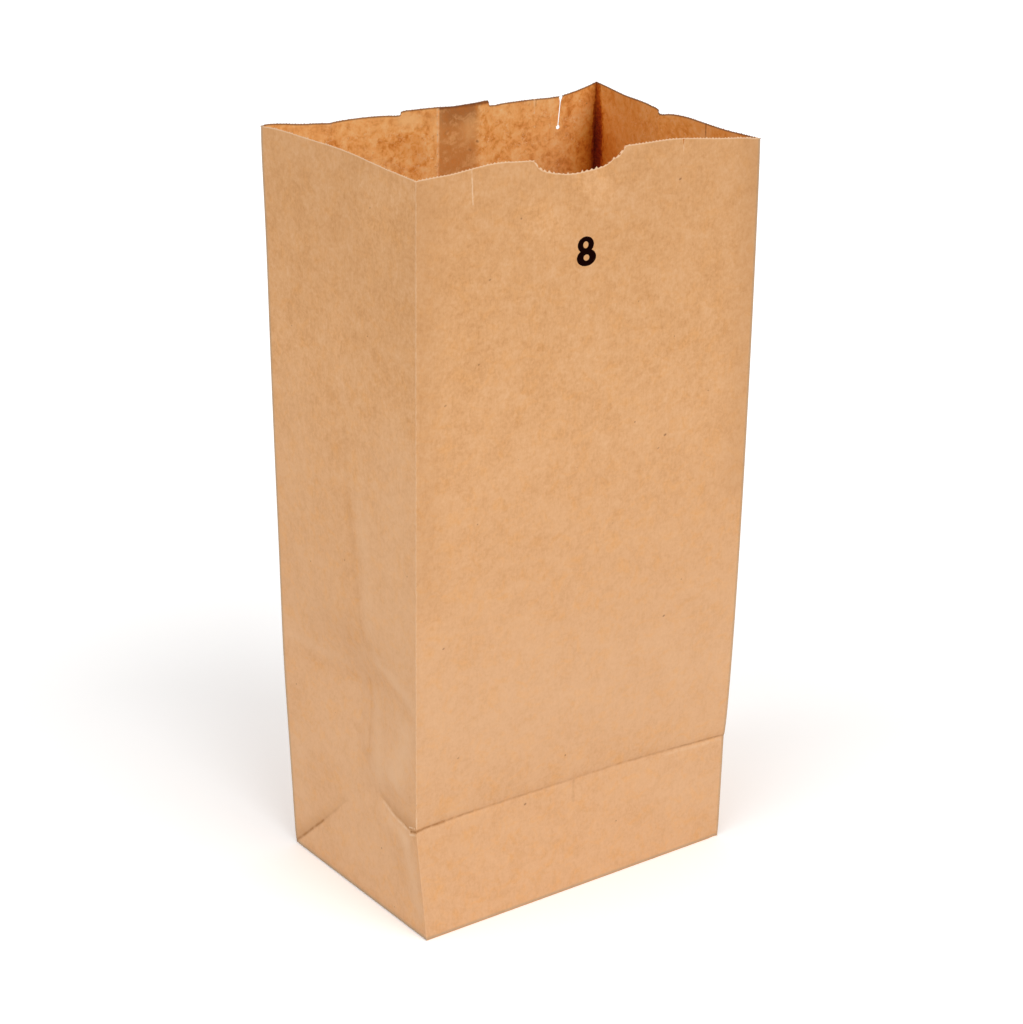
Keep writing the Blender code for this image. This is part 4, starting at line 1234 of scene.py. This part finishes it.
def newNodes(name, inputs):
    tree = bpy.data.node_groups.new(name, "GeometryNodeTree")
    tree.interface.new_socket("Geometry", in_out="INPUT", socket_type="NodeSocketGeometry")
    for label, kind, value in inputs:
        socket = tree.interface.new_socket(label, in_out="INPUT", socket_type=kind)
        if value is not None:
            socket.default_value = value
    tree.interface.new_socket("Geometry", in_out="OUTPUT", socket_type="NodeSocketGeometry")
    return tree, tree.nodes.new("NodeGroupInput").outputs, tree.nodes.new("NodeGroupOutput").inputs


def geo(tree, kind, settings=None, **values):
    node = tree.nodes.new(kind)
    for key, value in (settings or {}).items():
        setattr(node, key, value)
    for label, value in values.items():
        feed(tree, node.inputs[label.replace("_", " ")], value)
    return node


def alongEdge(tree, given, spacing):
    curve = geo(tree, "GeometryNodeMeshToCurve", Mesh=given["Geometry"]).outputs[0]
    points = geo(tree, "GeometryNodeCurveToPoints", {"mode": "LENGTH"}, Curve=curve, Length=spacing)
    turn = geo(tree, "FunctionNodeAlignRotationToVector", {"axis": "X", "pivot_axis": "Z"},
               Vector=points.outputs["Tangent"])
    return points.outputs["Points"], turn.outputs[0]


def randomVector(tree, low, high, seed):
    node = geo(tree, "FunctionNodeRandomValue", {"data_type": "FLOAT_VECTOR"})
    node.inputs[0].default_value = low
    node.inputs[1].default_value = high
    feed(tree, node.inputs["Seed"], seed)
    return node.outputs[0]


def finishNodes(tree, out, instances, material):
    real = geo(tree, "GeometryNodeRealizeInstances", Geometry=instances).outputs[0]
    done = geo(tree, "GeometryNodeSetMaterial", Geometry=real, Material=material).outputs[0]
    feed(tree, out["Geometry"], done)


def toothNodes():
    tree, given, out = newNodes("sawTeeth", [
        ("Pitch", "NodeSocketFloat", 0.0015), ("Height", "NodeSocketFloat", 0.0004),
        ("Sink", "NodeSocketFloat", 0.0003), ("Thickness", "NodeSocketFloat", 0.00008),
        ("Seed", "NodeSocketInt", 0), ("Material", "NodeSocketMaterial", None)])
    points, turn = alongEdge(tree, given, given["Pitch"])
    depth = calc(tree, "ADD", given["Height"], given["Sink"])
    radius = calc(tree, "MULTIPLY", given["Pitch"], teeth["broad"])
    cone = geo(tree, "GeometryNodeMeshCone", Vertices=4, Radius_Top=0.0, Radius_Bottom=radius, Depth=depth)
    square = geo(tree, "GeometryNodeTransform", Geometry=cone.outputs["Mesh"],
                 Rotation=(0.0, 0.0, math.pi / 4)).outputs[0]
    thin = calc(tree, "DIVIDE", given["Thickness"], given["Pitch"])
    flat = geo(tree, "GeometryNodeTransform", Geometry=square, Scale=xyz(tree, 1.0, thin, 1.0),
               Translation=xyz(tree, 0.0, 0.0, calc(tree, "MULTIPLY", given["Sink"], -1.0))).outputs[0]
    uneven = randomVector(tree, *teeth["uneven"], given["Seed"])
    made = geo(tree, "GeometryNodeInstanceOnPoints", Points=points, Instance=flat, Rotation=turn,
               Scale=uneven)
    finishNodes(tree, out, made.outputs[0], given["Material"])
    return tree


def fibreNodes():
    tree, given, out = newNodes("edgeFibres", [
        ("Spacing", "NodeSocketFloat", 0.0009), ("Length", "NodeSocketFloat", 0.0009),
        ("Radius", "NodeSocketFloat", 0.00002), ("Seed", "NodeSocketInt", 0),
        ("Material", "NodeSocketMaterial", None)])
    points = alongEdge(tree, given, given["Spacing"])[0]
    half = calc(tree, "MULTIPLY", given["Length"], 0.5)
    hair = geo(tree, "GeometryNodeCurveQuadraticBezier", Resolution=4, Start=(0.0, 0.0, 0.0),
               Middle=xyz(tree, 0.0, 0.0, half), End=xyz(tree, half, 0.0, given["Length"]))
    ring = geo(tree, "GeometryNodeCurvePrimitiveCircle", {"mode": "RADIUS"}, Resolution=3,
               Radius=given["Radius"])
    body = geo(tree, "GeometryNodeCurveToMesh", Curve=hair.outputs[0], Profile_Curve=ring.outputs[0],
               Fill_Caps=True)
    most, least = teeth["fibres"]["lean"], teeth["fibres"]["least"]
    lean = randomVector(tree, tuple(-angle for angle in most), most, given["Seed"])
    nextSeed = calc(tree, "ADD", given["Seed"], 1.0)
    size = randomVector(tree, (least, least, least), (1.0, 1.0, 1.0), nextSeed)
    made = geo(tree, "GeometryNodeInstanceOnPoints", Points=points, Instance=body.outputs[0], Rotation=lean,
               Scale=size)
    finishNodes(tree, out, made.outputs[0], given["Material"])
    return tree


def edgeLine(name, runs):  # a mesh of plain edges, one chain for each run of points
    data = bpy.data.meshes.new(name)
    points, links = [], []
    for run in runs:
        first = len(points)
        points += [point * mm for point in run]
        links += [(k, k + 1) for k in range(first, len(points) - 1)]
    data.from_pydata(points, links, [])
    line = bpy.data.objects.new(name, data)
    bpy.context.collection.objects.link(line)
    return line


def grow(line, tree, name, values):  # runs the nodes on an edge line and keeps a plain mesh
    modifier = line.modifiers.new(name, "NODES")
    modifier.node_group = tree
    for item in tree.interface.items_tree:
        if item.in_out == "INPUT" and item.name in values:
            modifier[item.identifier] = values[item.name]
    graph = bpy.context.evaluated_depsgraph_get()
    data = bpy.data.meshes.new_from_object(line.evaluated_get(graph), depsgraph=graph)
    data.name = name
    piece = bpy.data.objects.new(name, data)
    bpy.context.collection.objects.link(piece)
    bpy.data.objects.remove(line, do_unlink=True)
    print(name + ":", len(data.polygons), "faces")
    return piece


def edgeRuns(columns, grids, normals):  # the far walls show their cut edge from the inside
    start, end = teeth["notchEnds"]
    runs = {"near": [], "far": [], "notch": []}
    last = None
    for (panel, across, _, side), (points, _), pushes in zip(columns, grids, normals):
        middle = points[-1] + pushes[-1] * bag["paper"] * sum(seamLayers(panel, across)) / 2
        kind = "notch" if panel == 0 and start < across < end else "far" if panel in (1, 2) else "near"
        if side > 0 or kind != last:
            runs[kind].append([])
        runs[kind][-1].append(middle)
        last = kind
    return {kind: [run for run in own if len(run) > 1] for kind, own in runs.items()}


def growEdge(columns, grids, normals, paleEdge, darkEdge):
    runs = edgeRuns(columns, grids, normals)
    toothTree, fibreTree = toothNodes(), fibreNodes()
    fibres = teeth["fibres"]
    pieces = []
    for kind, own in runs.items():
        # the far teeth take the painted shade
        material = darkEdge if kind == "far" else paleEdge
        values = {"Pitch": teeth[kind]["pitch"] * mm, "Height": teeth[kind]["height"] * mm,
                  "Sink": teeth["sink"] * mm, "Thickness": teeth["thickness"] * mm,
                  "Seed": teeth[kind]["seed"], "Material": material}
        pieces.append(grow(edgeLine(kind + "Line", own), toothTree, kind + "Teeth", values))
        values = {"Spacing": fibres["spacing"] * mm, "Length": fibres["length"] * mm,
                  "Radius": fibres["radius"] * mm, "Seed": fibres["seed"], "Material": material}
        pieces.append(grow(edgeLine(kind + "FibreLine", own), fibreTree, kind + "Fibres", values))
    return pieces


# Camera, floor and light
view = {
    "lens": 90.53,
    "azimuth": -35.66,
    "elevation": 21.45,
    "roll": 0.11,
    "distance": 1.07661,
    "target": (0.0, 0.0, 0.15795),
    "aside": (0.00142, -0.0031),
}


def addCamera():
    azimuth, elevation, roll = (math.radians(view[key]) for key in ("azimuth", "elevation", "roll"))
    back = Vector((math.sin(azimuth) * math.cos(elevation), -math.cos(azimuth) * math.cos(elevation),
                   math.sin(elevation)))
    flatRight = Vector((math.cos(azimuth), math.sin(azimuth), 0))
    flatUp = back.cross(flatRight)
    right = flatRight * math.cos(roll) + flatUp * math.sin(roll)
    up = -flatRight * math.sin(roll) + flatUp * math.cos(roll)
    place = Vector(view["target"]) + back * view["distance"]
    place += right * view["aside"][0]
    place += up * view["aside"][1]
    data = bpy.data.cameras.new("camera")
    data.lens = view["lens"]
    data.clip_start = 0.01
    camera = bpy.data.objects.new("camera", data)
    turn = Matrix((right, up, back)).transposed().to_4x4()
    camera.matrix_world = Matrix.Translation(place) @ turn
    bpy.context.collection.objects.link(camera)
    bpy.context.scene.camera = camera


light = {
    "world": 0.54,
    "floorShown": 1.25,
    "floorBounce": 0.72,
    "suns": [
        {"name": "keySun", "from": (0.10, -1.0, 0.75), "power": 1.25, "spread": 50,
         "colour": (1.0, 0.99, 0.97)},
        {"name": "sideSun", "from": (-1.0, -0.15, 0.65), "power": 0.92, "spread": 60,
         "colour": (0.98, 0.99, 1.0)},
    ],
}


def addLamps():
    for sun in light["suns"]:
        data = bpy.data.lights.new(sun["name"], "SUN")
        data.angle = math.radians(sun["spread"])
        data.energy = sun["power"]
        data.color = sun["colour"]
        thing = bpy.data.objects.new(sun["name"], data)
        thing.location = sun["from"]
        thing.rotation_euler = (-Vector(sun["from"])).to_track_quat("-Z", "Y").to_euler()
        bpy.context.collection.objects.link(thing)
    world = bpy.data.worlds.new("studio")
    bpy.context.scene.world = world
    world.use_nodes = True
    tree = world.node_tree
    ground = tree.nodes["Background"]
    path = tree.nodes.new("ShaderNodeLightPath")
    shown = calc(tree, "MAXIMUM", path.outputs["Is Camera Ray"], path.outputs["Is Glossy Ray"])
    shown = calc(tree, "MAXIMUM", shown, path.outputs["Is Transmission Ray"])
    ground.inputs["Color"].default_value = (1, 1, 1, 1)
    feed(tree, ground.inputs["Strength"], ramp(tree, shown, 0.0, 1.0, light["world"], 1.0))


def addFloor():
    data = bpy.data.meshes.new("floor")
    mesh = bmesh.new()
    bmesh.ops.create_circle(mesh, cap_ends=True, segments=96, radius=6.0)
    bmesh.ops.translate(mesh, verts=mesh.verts, vec=(0, 0, -0.1 * mm))
    mesh.to_mesh(data)
    mesh.free()
    floor = bpy.data.objects.new("floor", data)
    bpy.context.collection.objects.link(floor)
    material, tree, shader = newMaterial("whiteFloor", 1.0)
    tree.nodes.remove(shader)
    path = tree.nodes.new("ShaderNodeLightPath")
    plain = tree.nodes.new("ShaderNodeBsdfDiffuse")
    tone = ramp(tree, path.outputs["Is Camera Ray"], 0.0, 1.0, light["floorBounce"], light["floorShown"])
    feed(tree, plain.inputs["Color"], tone)
    feed(tree, tree.nodes["Material Output"].inputs["Surface"], plain.outputs[0])
    data.materials.append(material)


addCamera()
addFloor()
addLamps()
bpy.context.scene.view_settings.view_transform = "Standard"
print("camera, floor and lamps")

shell, columns, grids, normals = makeShell()
lineTree = lineGroup()
groups = {
    "pulp": fibreGroup(),
    "flecks": fleckGroup(),
    "specks": linesGroup("handSpecks", lineTree, speckLines),
    "foldShades": foldShadeGroup(),
    "outlines": linesGroup("outlines", lineTree, outlines),
    "marks": creaseGroup("foldShadeAndMarks", lineTree, creases),
    "innerMarksAndShade": creaseGroup("innerMarksAndShade", lineTree, innerMarksAndShade),
    "digit": digitGroup(),
}
paleEdge = cutKraft("cutKraft", outerLook["light"], outerLook["pale"])
# the far cut edge and its teeth are painted dark: painted shade, as they are seen in the shade of the
# inside
darkEdge = cutKraft("farCutKraft", innerLook["edge"], innerLook["paintedInnerShade"])
for material in (outerKraft(groups), innerKraft(groups), paleEdge, darkEdge):
    shell.data.materials.append(material)
print("materials")

pieces = [shell] + growEdge(columns, grids, normals, paleEdge, darkEdge)
for piece in pieces:
    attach(piece, "root")
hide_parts("bag")
